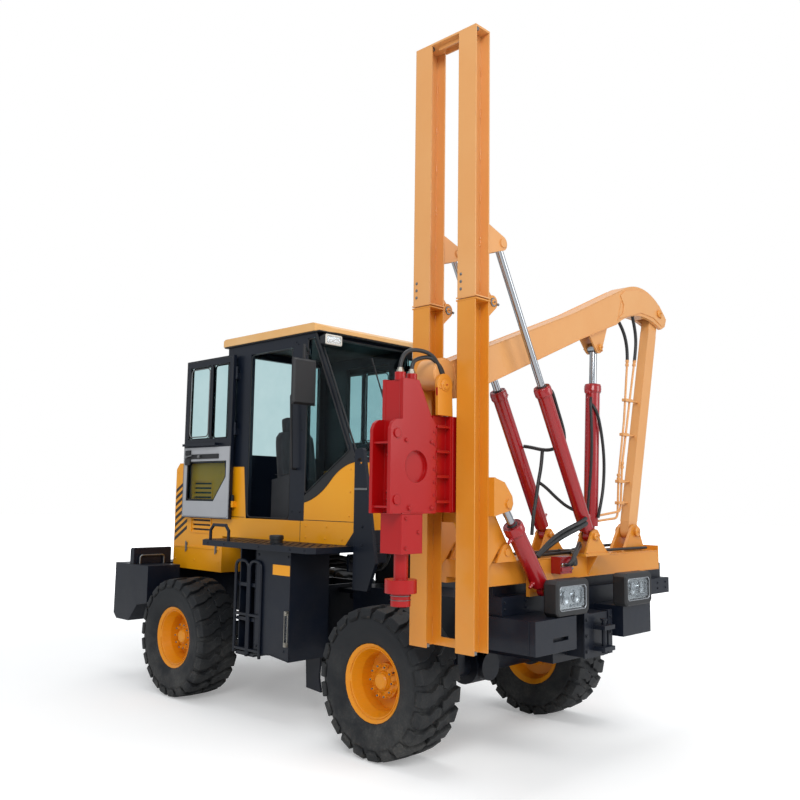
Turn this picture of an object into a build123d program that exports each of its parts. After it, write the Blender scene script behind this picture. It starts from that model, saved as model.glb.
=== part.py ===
from build123d import *
from math import atan2, cos, degrees, hypot, radians, sin
import os

# Guardrail pile driver rig on an articulated four-wheel carrier, millimetres.
# The model is drawn with x = 0 at the front axle, y = 0 on the carrier's centre line and
# z = 0 on the ground; +X is forward and +Y is the driver's left. The mast stands on the
# right, and its posts, boom and cylinders all move in planes square to X.
# Export moves everything so that the origin is under the middle of the whole machine.
WHEELBASE = 2650
REAR_FACE = -WHEELBASE - 1210     # counterweight
NOSE_X = 1250         # headlamps
HAMMER_FRONT = -1872
BOOM_TAIL = 1735
FRONT_AXLE_X = -(REAR_FACE + NOSE_X) / 2
CENTRE_LINE_Y = -(HAMMER_FRONT + BOOM_TAIL) / 2

# carrier
TRACK = 1930
TYRE_R = 537.5
TYRE_W = 410
RIM_R = 254
RIM_W = 330
HUB_R = 125
RIM_FACES = 30
HUB_FACES = 20
SPINDLE_R = 60
PIVOT_X = 5 - WHEELBASE / 2
PIN_R = 40
CARCASS_R = 506
CARCASS_FACES = 36
LUGS = 22             # tread bars in each of the two rows
LUG_FOOT = 455
LUG_TOP = (TYRE_R ** 2 - 58 ** 2) ** 0.5
LUG_CORNER = 180 - degrees(atan2(58, LUG_TOP))
RUN = 0.05            # radial clearance of a pin in its bore
FIT = 0.3             # gap between sliding faces
PLATE = 20

FRAME_HALF = 300      # rear frame, centre to outer face
RAIL_BASE = 700
RAIL_TOP = 1050
BEARER_TOP = 1405     # what the cab and the side platforms stand on
REAR_END = REAR_FACE + 440
COUNTER_TOP = 1150
TOW_BORE_R = 20
FRONT_HALF = 275      # front frame, centre to outer face
FRONT_TOP = 1080
FRONT_END = 960

# body
CAB_HALF = 650
CAB_REAR = -2625
SILL = 1640
SKIRT_FRONT = -730
SKIRT_TOP = 2150
PILLAR_FRONT = -1390
PILLAR = 25           # the thin pillars beside the windscreen
QUARTER = [(PILLAR_FRONT, 1830), (PILLAR_FRONT, 3275), (-1292, 3275), (-798, 2235)]
ROOF_FRONT = -1200
SCREEN_TOP = -1290    # where the windscreen meets the roof
ROOF_BASE = 3330
ROOF_T = 65
DOOR_REAR = -2245
DOOR_FRONT = -1600
DOOR_TOP = 3215
DOOR_W = 830          # the leaf laps over its doorway
HINGE_RIGHT = (-2425, -CAB_HALF - 35, 0)
CORNER_TOP = 2130     # yellow corner panel behind the doorway
HINGE_Z = (1800, 2500, 3050)
PANE_GAP = 0.6
WALL = 50
HOOD_REAR = REAR_FACE + 360
HOOD_BASE = 1105
HOOD_TOP = 2180
PLATFORM_HALF = 1130
PLATFORM_T = 50
CAB_FLOOR = BEARER_TOP + PLATFORM_T + FIT
TANK_HALF = 1050
STEPS = (500, 790, 1080)

# mast and its deck
BEAM = 150            # width and depth of a mast column's H section
BEAM_WEB = 8
BEAM_FLANGE = 10
MAST_Y = -1225        # centre of the columns
COLUMNS_X = (594, 992)
MAST_X = 793
MAST_BASE = 890
SPLIT_Z = 3170
SPLIT_GAP = 5
MAST_TOP = 5030
TOP_PLATE = 15
DECK_TOP = 1445
DECK_BASE = 1285
DECK_REAR = 525
DECK_FRONT = 965
DECK_RIGHT = -1020
DECK_LEFT = 1315
SLIDE_LEFT = 1500
SLIDE_RIGHT = -870
SLIDE_BASE = FRONT_TOP + FIT
SLIDE_TOP = 1207# pin places as (y, z)
TILT_PIVOT = (-900, 1510)
TILT_FOOT = (-542, 1240)
TILT_EYE = (-998, 1830)
TILT_X = 1060
HINGE = (-1075, SPLIT_Z)
FOLD_FOOT = (160, 1590)
FOLD_EYE = (-970, 3600)
POST_FOOT = (1108, 1600)
ELBOW = (BOOM_TAIL - 160, 3550)
BOOM_HEAD = (-1370, 2670)
LIFT_FOOT = (515, 1580)
LIFT_EYE = (590, 3110)

POST_HALF = 70
POST_W = 80
TONGUE = 76           # the post's top, between the boom's side walls
BOOM_W = 150
HEAD_R = 105
CARRIAGE_W = 205
ROLLER_GAP = 0.9
DRIVE_Y = -1674       # axis of the piston and drive cap
SOCKET_R = 45


def block(x0, x1, y0, y1, z0, z1):
    return Pos((x0 + x1) / 2, (y0 + y1) / 2, (z0 + z1) / 2) * Box(abs(x1 - x0), abs(y1 - y0), abs(z1 - z0))


def plate_yz(points, x0, x1):
    face = Plane.YZ.offset(x0) * Polygon(*points, align=None)
    return extrude(face, amount=x1 - x0, dir=(1, 0, 0))


def plate_xz(points, y0, y1):
    face = Plane.XZ.offset(-y0) * Polygon(*points, align=None)
    return extrude(face, amount=y1 - y0, dir=(0, 1, 0))


def plate_xy(points, z0, z1):
    face = Plane.XY.offset(z0) * Polygon(*points, align=None)
    return extrude(face, amount=z1 - z0, dir=(0, 0, 1))


def rod_x(y, z, r, x0, x1):
    return Pos((x0 + x1) / 2, y, z) * Rot(0, 90, 0) * Cylinder(r, abs(x1 - x0))


def rod_y(x, z, r, y0, y1):
    return Pos(x, (y0 + y1) / 2, z) * Rot(90, 0, 0) * Cylinder(r, abs(y1 - y0))


def rod_z(x, y, r, z0, z1):
    return Pos(x, y, (z0 + z1) / 2) * Cylinder(r, abs(z1 - z0))


def rod_between(a, b, r):
    a, b = Vector(*a), Vector(*b)
    plane = Plane(origin=a, z_dir=b - a)
    return extrude(plane * Circle(r), amount=(b - a).length)


def faceted_ring(outline, count):
    """A ring about Y with flat faces, count of them round; outline is a closed list of (y, radius)."""
    faces, turn = [], radians(360 / count)
    for k in range(count):
        for (ya, ra), (yb, rb) in zip(outline, outline[1:] + outline[:1]):
            corners = [(r * sin(a), y, r * cos(a)) for y, r, a in
                       ((ya, ra, k * turn), (yb, rb, k * turn), (yb, rb, k * turn + turn), (ya, ra, k * turn + turn))]
            faces.append(Face(Wire.make_polygon([Vector(*c) for c in corners], close=True)))
    return Solid(Shell(faces))


def chamfered(shape, size):
    return chamfer(shape.edges(), size)


def both_sides(shape):
    """The shape and its mirror image across the centre line."""
    return [shape, mirror(shape, about=Plane.XZ)]


def lug(pin, r, foot, x0, x1):
    """A plate square to X, round about its pin and spreading to two foot points."""
    edges = (Pos(*pin) * Circle(r)).edges() + [Line(*foot)]
    return extrude(Plane.YZ.offset(x0) * make_hull(edges), amount=x1 - x0, dir=(1, 0, 0))


def pair(x, gap, t):
    """x spans of two plates of thickness t, a gap apart, about x."""
    return ((x - gap / 2 - t, x - gap / 2), (x + gap / 2, x + gap / 2 + t))


def clevis(pin, r, foot, x, gap, t, pin_r):
    """Two lugs with a pin across them."""
    plates = [lug(pin, r, foot, x0, x1) for x0, x1 in pair(x, gap, t)]
    return plates[0] + plates[1] + rod_x(*pin, pin_r, x - gap / 2 - 1.6 * t, x + gap / 2 + 1.6 * t)


def ears(pin, r, foot, x, gap, t, boss_r):
    """Two lugs with a pin head on each, open between them."""
    out = []
    for (x0, x1), side in zip(pair(x, gap, t), (-1, 1)):
        x2 = x0 - 0.6 * t if side < 0 else x1
        out.append(lug(pin, r, foot, x0, x1) + rod_x(*pin, boss_r, x2, x2 + 0.6 * t))
    return out


# ---------------------------------------------------------------- wheels

def tread_lug(side, turn):
    """One bar of the tread: side is the half that it stands on, turn its angle in degrees."""
    inner, outer = 12 * side, side * (TYRE_W / 2 - 10)
    outline = [(-34, inner), (4, inner), (58, outer), (6, outer)]
    bar = extrude(Plane.XY.offset(LUG_FOOT) * Polygon(*outline, align=None), amount=LUG_TOP - LUG_FOOT, dir=(0, 0, 1))
    return Rot(0, turn, 0) * bar


def tyre(x, y, side):
    """Carcass of flat faces with two rows of tread bars; side is -1 on the right, +1 on the left."""
    half, bead, low = TYRE_W / 2, RIM_W / 2 - 16, RIM_R + FIT
    right = [(-bead, low), (-bead - 8, RIM_R + 34), (-half, RIM_R + 140), (-half + 8, LUG_FOOT - 20), (-half + 40, CARCASS_R)]
    outline = right + [(-a, b) for a, b in reversed(right)]
    body = faceted_ring(outline, CARCASS_FACES)
    pitch = 360 / LUGS
    bars = [tread_lug(-1, LUG_CORNER + k * pitch) for k in range(LUGS)]
    bars += [tread_lug(1, LUG_CORNER + (k + 0.5) * pitch) for k in range(LUGS)]
    body = body.fuse(*bars)
    if side > 0:
        body = mirror(body, about=Plane.XZ)
    return Pos(x, y, TYRE_R) * body


def rim(x, y, side):
    """Deep dished rim with its hub; side is -1 on the right, +1 on the left."""
    w, r = RIM_W / 2, RIM_R - 1
    shell = [(-w - 5, r + 24), (-w + 9, r + 24), (-w + 14, r), (-60, r - 25), (60, r - 25), (w - 14, r),
             (w - 9, r + 24), (w + 5, r + 24), (w - 20, r - 16), (66, r - 44), (-30, r - 44), (-42, HUB_R + 14),
             (-42, HUB_R - 30), (-58, HUB_R - 30), (-58, r - 44), (-w + 20, r - 16)]
    hub = [(-138, SPINDLE_R - 20), (-138, HUB_R - 12), (-120, HUB_R), (30, HUB_R), (44, 74), (66, 66), (66, 20), (-20, 20),
           (-20, SPINDLE_R - 20)]
    solid = faceted_ring(shell, RIM_FACES) + faceted_ring(hub, HUB_FACES) + rod_y(0, 0, 30, -20, 60)
    solid -= rod_y(0, 0, SPINDLE_R + RUN, -139, -20)
    return Pos(x, y, TYRE_R) * (Rot(0, 0, 0 if side > 0 else 180) * solid)


def axle(x, pad_half):
    """Banjo axle with its spring pads and a spindle for each wheel."""
    z, end = TYRE_R, TRACK / 2 - 142
    tube = rod_y(x, z, 85, -end, end) + rod_y(x, z, SPINDLE_R, -end - 100, end + 100)
    tube += Pos(x, 0, z) * Rot(90, 0, 0) * Cylinder(150, 240)
    tube += rod_x(0, z, 110, x - 190, x + 190)
    for y in (-end + 25, end - 25):
        tube += rod_y(x, z, 110, y - 25, y + 25)
    for y in (-pad_half, pad_half):
        tube += block(x - 90, x + 90, y - 45, y + 45, z, RAIL_BASE)
    return tube


# ---------------------------------------------------------------- rear chassis

def pivot_ear(x_from, z0, z1, half):
    """A plate from a frame's cross plate to a round end about the pivot."""
    reach = sorted((x_from, PIVOT_X))
    return block(*reach, -half, half, z0, z1) + rod_z(PIVOT_X, 0, half, z0, z1)


def rear_frame():
    face = PIVOT_X - 190
    rail = [(REAR_END, RAIL_BASE), (face - 540, RAIL_BASE), (face - 270, 480), (face, 480), (face, RAIL_TOP),
            (REAR_END, RAIL_TOP)]
    frame = plate_xz(rail, FRAME_HALF - PLATE, FRAME_HALF) + plate_xz(rail, -FRAME_HALF, PLATE - FRAME_HALF)
    for x0, z0 in ((face - PLATE, 480), (face - 550, RAIL_BASE), (REAR_END, RAIL_BASE)):
        frame += block(x0, x0 + PLATE, -FRAME_HALF, FRAME_HALF, z0, RAIL_TOP)
    for z0 in (500, 980):
        frame += pivot_ear(face, z0, z0 + 40, 110)
    frame += rod_z(PIVOT_X, 0, PIN_R, 480, 1040)
    for x in (face - 820, face - 50):
        frame += block(x, x + 70, -FRAME_HALF - 300, FRAME_HALF + 300, BEARER_TOP - 60, BEARER_TOP)
        for y in (-FRAME_HALF, FRAME_HALF - PLATE):
            frame += block(x, x + 70, y, y + PLATE, RAIL_TOP, BEARER_TOP - 60)
    return frame


def counterweight():
    top, x = COUNTER_TOP, REAR_FACE
    side = [(x, top), (x, 640), (x + 60, 590), (x + 300, 590), (x + 460, 760), (x + 645, 800), (x + 645, top)]
    body = plate_xz(side, -1100, 1100)
    body -= block(x + 300, x + 660, -740, 740, 500, top + 50)
    body += block(x + 300, REAR_END, -FRAME_HALF, FRAME_HALF, RAIL_BASE, HOOD_BASE - FIT)
    body -= block(x - 1, x + 90, -50, 50, 780, 900)
    return body - rod_z(x + 45, 0, TOW_BORE_R, 500, top + 1)


def rear_fenders():
    """Low upright walls on the counterweight, one on each side of the hood."""
    base, x = COUNTER_TOP + FIT, HOOD_REAR - 90
    wall = [(x, base), (x, 1290), (x + 20, 1310), (x + 70, 1310), (x + 70, base)]
    return both_sides(plate_xz(wall, -1090, -CAB_HALF - 15))


def engine():
    return block(HOOD_REAR + 80, CAB_REAR - 60, -260, 260, RAIL_TOP, 1700)


def hood():
    side = [(HOOD_REAR, HOOD_BASE), (HOOD_REAR, HOOD_TOP - 60), (HOOD_REAR + 60, HOOD_TOP),
            (CAB_REAR - FIT, HOOD_TOP), (CAB_REAR - FIT, HOOD_BASE)]
    body = plate_xz(side, -CAB_HALF, CAB_HALF)
    body -= block(HOOD_REAR + 20, CAB_REAR - 20, 20 - CAB_HALF, CAB_HALF - 20, HOOD_BASE - 1, HOOD_TOP - 20)
    # cooling slots: a bank high on each side and one in the top
    for z in range(1500, 1961, 46):
        for side in (-1, 1):
            y = side * CAB_HALF
            body -= block(HOOD_REAR + 340, HOOD_REAR + 660, y - 25, y + 25, z, z + 18)
    for n in range(7):
        x = HOOD_REAR + 220 + 50 * n
        body -= block(x, x + 22, -300, 300, HOOD_TOP - 30, HOOD_TOP + 1)
    return body


def radiator_guard():
    x = HOOD_REAR - 95
    guard = block(x, HOOD_REAR - FIT, -560, 560, COUNTER_TOP + FIT, 2140)
    guard -= block(x - 1, x + 60, -480, 480, 1260, 2050)
    for n in range(14):
        z = 1280 + n * 56
        guard += block(x + 10, x + 60, -480, 480, z, z + 12)
    return guard


# ---------------------------------------------------------------- platforms

def side_platform():
    """The right platform with its tank and steps."""
    top, z0 = BEARER_TOP + PLATFORM_T, BEARER_TOP
    outline = [(-2230, -PLATFORM_HALF), (-760, -PLATFORM_HALF), (-710, -PLATFORM_HALF + 50), (-710, -FRAME_HALF),
               (-2330, -FRAME_HALF), (-2330, -PLATFORM_HALF + 100)]
    body = plate_xy(outline, z0, top)
    tank = [(-1525, z0), (-1525, 520), (-1300, 545), (-1056, 520), (-1056, z0)]
    body += plate_xz(tank, -TANK_HALF, 20 - CAB_HALF)
    # steps beside the tank: treads between a cheek and the tank, on a back plate
    body += block(-1780, -1524, -TANK_HALF + 220, 20 - CAB_HALF, 520, z0)
    body += block(-1780, -1765, -TANK_HALF + 20, -TANK_HALF + 221, 500, z0)
    for z in STEPS:
        body += block(-1780, -1524, -TANK_HALF, -TANK_HALF + 221, z, z + 30)
    leg = [(-1330, 560), (-1310, 230), (-1120, 215), (-1150, 330), (-1130, 560)]
    return body + plate_xz(leg, 10 - CAB_HALF, 30 - CAB_HALF)


def guard_post():
    """The upright plate ahead of the cab's front corner."""
    low, outer, inner = FRONT_TOP + 25, -CAB_HALF - 40, -CAB_HALF - 5
    side = [(-700, 2235), (-685, 2255), (-615, 2262), (-598, 2245), (-470, 1500), (-440, 1330), (-530, low), (-700, low)]
    post = plate_xz(side, outer, inner) - rod_y(-640, 2150, 28, outer - 10, inner + 10)
    return post + block(-710, -500, inner, inner + 155, 1330, BEARER_TOP)


def grab_rails():
    """A square hoop of tube on each platform, behind the door."""
    y, z0, z1, r = -1080, BEARER_TOP + PLATFORM_T + FIT, 1590, 14
    a, b = -2180, -1900
    rail = rod_z(a, y, r, z0, z1 - 40) + rod_z(b, y, r, z0, z1 - 40)
    rail += rod_between((a + 40, y, z1), (b - 40, y, z1), r)
    rail += rod_between((a, y, z1 - 48), (a + 48, y, z1), r) + rod_between((b, y, z1 - 48), (b - 48, y, z1), r)
    return both_sides(rail)


# ---------------------------------------------------------------- cab

def cab_outline():
    return [(CAB_REAR, CAB_FLOOR), (CAB_REAR, ROOF_BASE), (SCREEN_TOP, ROOF_BASE), (SKIRT_FRONT, SKIRT_TOP),
            (SKIRT_FRONT, CAB_FLOOR)]


def cab_frame():
    """Pillars and walls round the cabin, with the doorways and windows cut."""
    body = plate_xz(cab_outline(), -CAB_HALF, CAB_HALF)
    inside = [(CAB_REAR + WALL, CAB_FLOOR + 60), (CAB_REAR + WALL, ROOF_BASE + 1), (SCREEN_TOP - 30, ROOF_BASE + 1),
              (SKIRT_FRONT - WALL - 20, SKIRT_TOP - 20), (SKIRT_FRONT - WALL, CAB_FLOOR + 60)]
    body -= plate_xz(inside, WALL - CAB_HALF, CAB_HALF - WALL)
    # the yellow cheeks, rear corners and front panel fill what is cut here
    body -= skirt()
    through = CAB_HALF + 1
    body -= block(DOOR_REAR, DOOR_FRONT, -through, through, SILL, DOOR_TOP)
    body -= plate_xz(QUARTER, -through, through)
    slope = [(SCREEN_TOP - 60, 3280), (SCREEN_TOP + 60, 3280), (SKIRT_FRONT + 20, SKIRT_TOP + 40),
             (SKIRT_FRONT - 120, SKIRT_TOP + 40)]
    body -= plate_xz(slope, PILLAR - CAB_HALF, CAB_HALF - PILLAR)
    body -= block(CAB_REAR - 1, CAB_REAR + WALL + 1, -520, 520, 2260, 3250)
    for z in HINGE_Z[1:]:
        for strap in hinge_straps(z):
            body += strap
    return body


def hinge_straps(z):
    """The fixed half of each door's hinge under the level z."""
    x, y = HINGE_RIGHT[0], HINGE_RIGHT[1]
    return both_sides(block(x - 10, x + 10, y, 1 - CAB_HALF, z - 60, z - FIT) + rod_z(x, y, 14, z - 60, z - FIT))


def skirt():
    """The yellow lower body, from the corner panels behind the doors forward to the nose of the cab."""
    with BuildSketch(Plane.XZ) as sketch:
        with BuildLine():
            a = Polyline((CAB_REAR, CAB_FLOOR), (CAB_REAR, CORNER_TOP), (-2300, CORNER_TOP), (DOOR_REAR - 5, SILL),
                         (PILLAR_FRONT, SILL), (PILLAR_FRONT, 1800))
            b = ThreePointArc(a @ 1, (-1200, 1872), (-1040, 1995))
            c = ThreePointArc(b @ 1, (-895, 2100), (SKIRT_FRONT, SKIRT_TOP))
            Polyline(c @ 1, (SKIRT_FRONT, 1580), (SKIRT_FRONT - 110, CAB_FLOOR), (CAB_REAR, CAB_FLOOR))
        make_face()
    whole = extrude(sketch.sketch, amount=CAB_HALF, both=True)
    hollow = block(CAB_REAR - 1, SKIRT_FRONT - WALL, WALL - CAB_HALF, CAB_HALF - WALL, CAB_FLOOR - 1, SKIRT_TOP + 200)
    return whole - hollow


def cab_roof():
    """A slab with its front edge turned down and its front corners cut off."""
    base, half = ROOF_BASE, CAB_HALF + 30
    side = [(CAB_REAR - 50, base), (CAB_REAR - 50, base + 60), (CAB_REAR - 20, base + ROOF_T + 10),
            (ROOF_FRONT - 90, base + ROOF_T + 10), (ROOF_FRONT, base + 35), (ROOF_FRONT, base)]
    plan = [(CAB_REAR - 51, -half), (ROOF_FRONT - 70, -half), (ROOF_FRONT + 1, 210 - half), (ROOF_FRONT + 1, half - 210),
            (ROOF_FRONT - 70, half), (CAB_REAR - 51, half)]
    return plate_xz(side, -half, half) & plate_xy(plan, base - 1, base + 200)


def cab_glass():
    """Windscreen, rear window and side lights, each inside its opening."""
    t, gap = 6, FIT
    x, y = SCREEN_TOP, CAB_HALF - PILLAR - gap
    lean = [(x - 25, 3278), (x - 19, 3278), (SKIRT_FRONT - 34, SKIRT_TOP + 42), (SKIRT_FRONT - 40, SKIRT_TOP + 42)]
    panes = [plate_xz(lean, -y, y)]
    (xa, za), (xb, zb), (xc, zc), (xd, zd) = QUARTER
    quarter = [(xa + gap, za + 1), (xb + gap, zb - gap), (xc - 1, zc - gap), (xd - 1, zd + gap)]
    panes += both_sides(plate_xz(quarter, -CAB_HALF + 5, -CAB_HALF + 5 + t))
    panes.append(block(CAB_REAR + 20, CAB_REAR + 20 + t, gap - 520, 520 - gap, 2260 + gap, 3250 - gap))
    return panes


def seat():
    x, z = -2080, CAB_FLOOR + 60 + FIT
    stand = block(x - 180, x + 180, -170, 170, z, z + 265)
    cushion = chamfered(block(x - 230, x + 240, -240, 240, z + 260, z + 380), 35)
    back = chamfered(Pos(x - 230, 0, z + 650) * Rot(0, -8, 0) * Box(120, 460, 680), 40)
    head = chamfered(Pos(x - 285, 0, z + 1050) * Rot(0, -8, 0) * Box(90, 280, 170), 30)
    return [stand + cushion + back + head]


def controls():
    """Dash, steering column and wheel, and the two lever consoles beside the seat."""
    z = CAB_FLOOR + 60 + FIT
    column = rod_between((-1140, 0, z + 12), (-1342, 0, 2204), 35)
    wheel = faceted_ring([(-9, 176), (-9, 202), (9, 202), (9, 176)], 24)
    wheel = Plane(origin=(-1340, 0, 2205), z_dir=(-0.26, 0, 0.966)) * (Rot(90, 0, 0) * wheel)
    plane = Plane(origin=(-1340, 0, 2205), z_dir=(-0.26, 0, 0.966))
    for a in (90, 210, 330):
        wheel += plane * Rot(0, 0, a) * Pos(95, 0, 0) * Box(190, 24, 8)
    dash = plate_xz([(-1130, z), (-1220, 2080), (-1000, 2160), (-860, 2080), (-860, z)], -300, 300)
    return column + wheel + dash


def consoles():
    """The two lever consoles beside the seat."""
    z = CAB_FLOOR + 60 + FIT
    side = [(-2150, z), (-2150, 2010), (-1900, 2060), (-1700, 2010), (-1720, 1900), (-1850, z)]
    console = plate_xz(side, -430, -290)
    for x in (-1890, -1800):
        console += rod_z(x, -360, 9, 1990, 2180) + rod_z(x, -360, 20, 2150, 2215)
    return both_sides(console)


def mirrors():
    head = chamfered(block(-1195, -1145, -1000, -745, 2640, 3035), 16)
    arm = rod_between((-1380, -CAB_HALF - 8, 3150), (-1172, -870, 3150), 9) + rod_z(-1172, -870, 13, 3030, 3168)
    arm += block(-1405, -1350, -CAB_HALF - 12, -CAB_HALF - FIT, 3125, 3175)
    return both_sides(head + arm)


def work_lamps():
    lamps, back, top = [], ROOF_FRONT - 56, 3290
    for y in (-560, 560):
        body = chamfer(block(back + 36, ROOF_FRONT + 55, y - 95, y + 95, top - 95, top).edges().filter_by(Axis.X), 18)
        body += block(back, ROOF_FRONT, y - 30, y + 30, top - 6, top + 4)
        lamps.append(body + block(back, back + 12, y - 30, y + 30, top - 6, ROOF_BASE - FIT))
    return lamps


def door(side, swung):
    """A framed leaf with three panes, outside its doorway; swung lays it back against the hood."""
    t, xh, yh = 34, HINGE_RIGHT[0], HINGE_RIGHT[1]
    x0, x1, z0, z1 = xh + 15, xh + 15 + DOOR_W, SILL - 15, DOOR_TOP + 15
    y0, rail, bar = yh - 5, 62, x0 + 0.45 * DOOR_W
    panel = block(x0, x1, y0, y0 + t, z0, z1)
    upper = 2415
    lights = [[(x0 + rail, upper), (bar - 14, upper), (bar - 14, z1 - 70), (x0 + rail, z1 - 70)],
              [(bar + 14, upper), (x1 - rail, upper), (x1 - rail, z1 - 70), (bar + 14, z1 - 70)],
              [(x0 + 270, 1800), (x1 - 75, 1800), (x1 - 75, 2185), (x0 + 75, 2185), (x0 + 75, 2030)]]
    glass = []
    for light in lights:
        panel -= plate_xz(light, y0 - 1, y0 + t + 1)
        x_mid = sum(x for x, z in light) / len(light)
        z_mid = sum(z for x, z in light) / len(light)
        pane = [(x + (1 if x < x_mid else -1) * PANE_GAP, z + (1 if z < z_mid else -1) * PANE_GAP) for x, z in light]
        glass.append(plate_xz(pane, y0 + 13, y0 + 19))
    for z in HINGE_Z:
        panel += block(xh, xh + 60, y0 - 8, y0 + 1, z, z + 60) + rod_z(xh, yh, 14, z, z + 60)
    # flush latch outside, hand bar inside
    panel += block(x1 - 45, x1 - 20, y0 - 12, y0 + 1, 2150, 2330)
    z, rear, front = 2345, DOOR_REAR + 30, DOOR_FRONT - 30
    for x in (rear, front - 24):
        panel += block(x, x + 24, y0 + t - 1, y0 + t + 50, z, z + 24)
    panel += block(rear, front, y0 + t + 38, y0 + t + 56, z, z + 24)
    if swung:
        turn = Pos(*HINGE_RIGHT) * Rot(0, 0, -180) * Pos(*[-v for v in HINGE_RIGHT])
        panel, glass = turn * panel, [turn * pane for pane in glass]
    if side > 0:
        panel, glass = mirror(panel, about=Plane.XZ), [mirror(pane, about=Plane.XZ) for pane in glass]
    return panel, glass


# ---------------------------------------------------------------- front chassis

def front_frame():
    back = PIVOT_X + 190
    rail = [(back, 480), (-560, 480), (-380, RAIL_BASE), (FRONT_END, RAIL_BASE), (FRONT_END, FRONT_TOP),
            (back, FRONT_TOP)]
    h = FRONT_HALF
    frame = plate_xz(rail, h - PLATE, h) + plate_xz(rail, -h, PLATE - h)
    for x0, z0 in ((back, 480), (-380, RAIL_BASE), (FRONT_END - PLATE, RAIL_BASE)):
        frame += block(x0, x0 + PLATE, -h, h, z0, FRONT_TOP)
    frame += block(back, FRONT_END, -h, h, FRONT_TOP - PLATE, FRONT_TOP)
    for z0 in (545, 935):
        frame += pivot_ear(back, z0, z0 + 40, 105)
    frame -= rod_z(PIVOT_X, 0, PIN_R + RUN, 500, FRONT_TOP)
    # boxes on both sides of the nose carry the headlamps; the right one has a slot
    box = block(FRONT_END - 300, NOSE_X, -900, -420, 860, FRONT_TOP)
    frame += box - block(NOSE_X - 30, NOSE_X + 1, -700, -520, 930, 955)
    frame += block(FRONT_END - 300, FRONT_END, -421, -h, 880, FRONT_TOP)
    frame += block(FRONT_END - 300, NOSE_X - 40, h, 690, 860, FRONT_TOP)
    # tow hitch between the boxes: two jaws with an upright pin
    frame += block(FRONT_END, NOSE_X - 110, -100, 170, 740, FRONT_TOP - 30)
    for z in (790, 940):
        frame += block(NOSE_X - 111, NOSE_X - 10, -35, 105, z, z + 30)
    return frame + rod_z(NOSE_X - 60, 35, 16, 770, 1000)


def headlights():
    lamps = []
    for y in (-450, 450):
        body = block(NOSE_X - 110, NOSE_X, y - 200, y + 200, FRONT_TOP + FIT, 1322)
        lamps.append(chamfer(body.edges().filter_by(Axis.X), 32))
    return lamps


def slide_base():
    base = block(DECK_REAR + 25, DECK_FRONT - 5, SLIDE_RIGHT, SLIDE_LEFT, SLIDE_BASE, SLIDE_TOP)
    for x in SLIDE_RAILS:
        base += block(x, x + 60, SLIDE_RIGHT, SLIDE_LEFT, SLIDE_TOP, SLIDE_RAIL_TOP)
    return base


SLIDE_RAILS = (610, 820)
SLIDE_RAIL_TOP = 1325


# ---------------------------------------------------------------- deck

def deck():
    body = block(DECK_REAR, DECK_FRONT, DECK_RIGHT, DECK_LEFT, DECK_BASE, DECK_TOP)
    body -= block(SLIDE_RAILS[0] - 10, SLIDE_RAILS[1] + 70, DECK_RIGHT - 1, DECK_LEFT + 1, DECK_BASE - 1,
                  SLIDE_RAIL_TOP + FIT)
    z = DECK_TOP
    # the mast's pivots, one inboard of each column
    for x in COLUMNS_X:
        body += clevis(TILT_PIVOT, 55, ((-1010, z), (-790, z)), x, 34, 16, 25)
    # the fold cylinders' feet: the front pair stands out over the deck's face
    for x in COLUMNS_X:
        body += clevis(FOLD_FOOT, 45, ((40, z + 20), (350, z + 20)), x, 70, 16, 25)
        body += block(x - 62, x + 62, 20, 370, z, z + 20)
    x = COLUMNS_X[1]
    body += plate_xz([(DECK_FRONT, z), (x + 62, z), (DECK_FRONT, z - 150)], 185, 205)
    y = POST_FOOT[0]
    body += clevis(POST_FOOT, 62, ((y - 190, z), (y + 150, z)), MAST_X, POST_W + 12, 26, 35)
    y = LIFT_FOOT[0]
    body += clevis(LIFT_FOOT, 50, ((y - 90, z), (y + 90, z)), MAST_X, 70, 16, 25)
    # lip across the left end
    body += block(DECK_REAR, DECK_FRONT, DECK_LEFT - 22, DECK_LEFT, z - 1, z + 38)
    y, zf = TILT_FOOT
    body += block(DECK_FRONT - 1, TILT_X - 66, y - 60, y + 60, zf - 45, DECK_BASE + 60)
    return body + rod_x(y, zf, 22, TILT_X - 67, TILT_X + 45)


def valve_block():
    """Block with two spools on the deck's front, their caps on its left end."""
    body = block(DECK_FRONT + FIT, DECK_FRONT + 81, -300, -150, DECK_TOP - 110, DECK_TOP + 10)
    for z in (DECK_TOP - 80, DECK_TOP - 25):
        body += rod_y(DECK_FRONT + 40, z, 17, -151, -118)
    return body


# ---------------------------------------------------------------- cylinders

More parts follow.
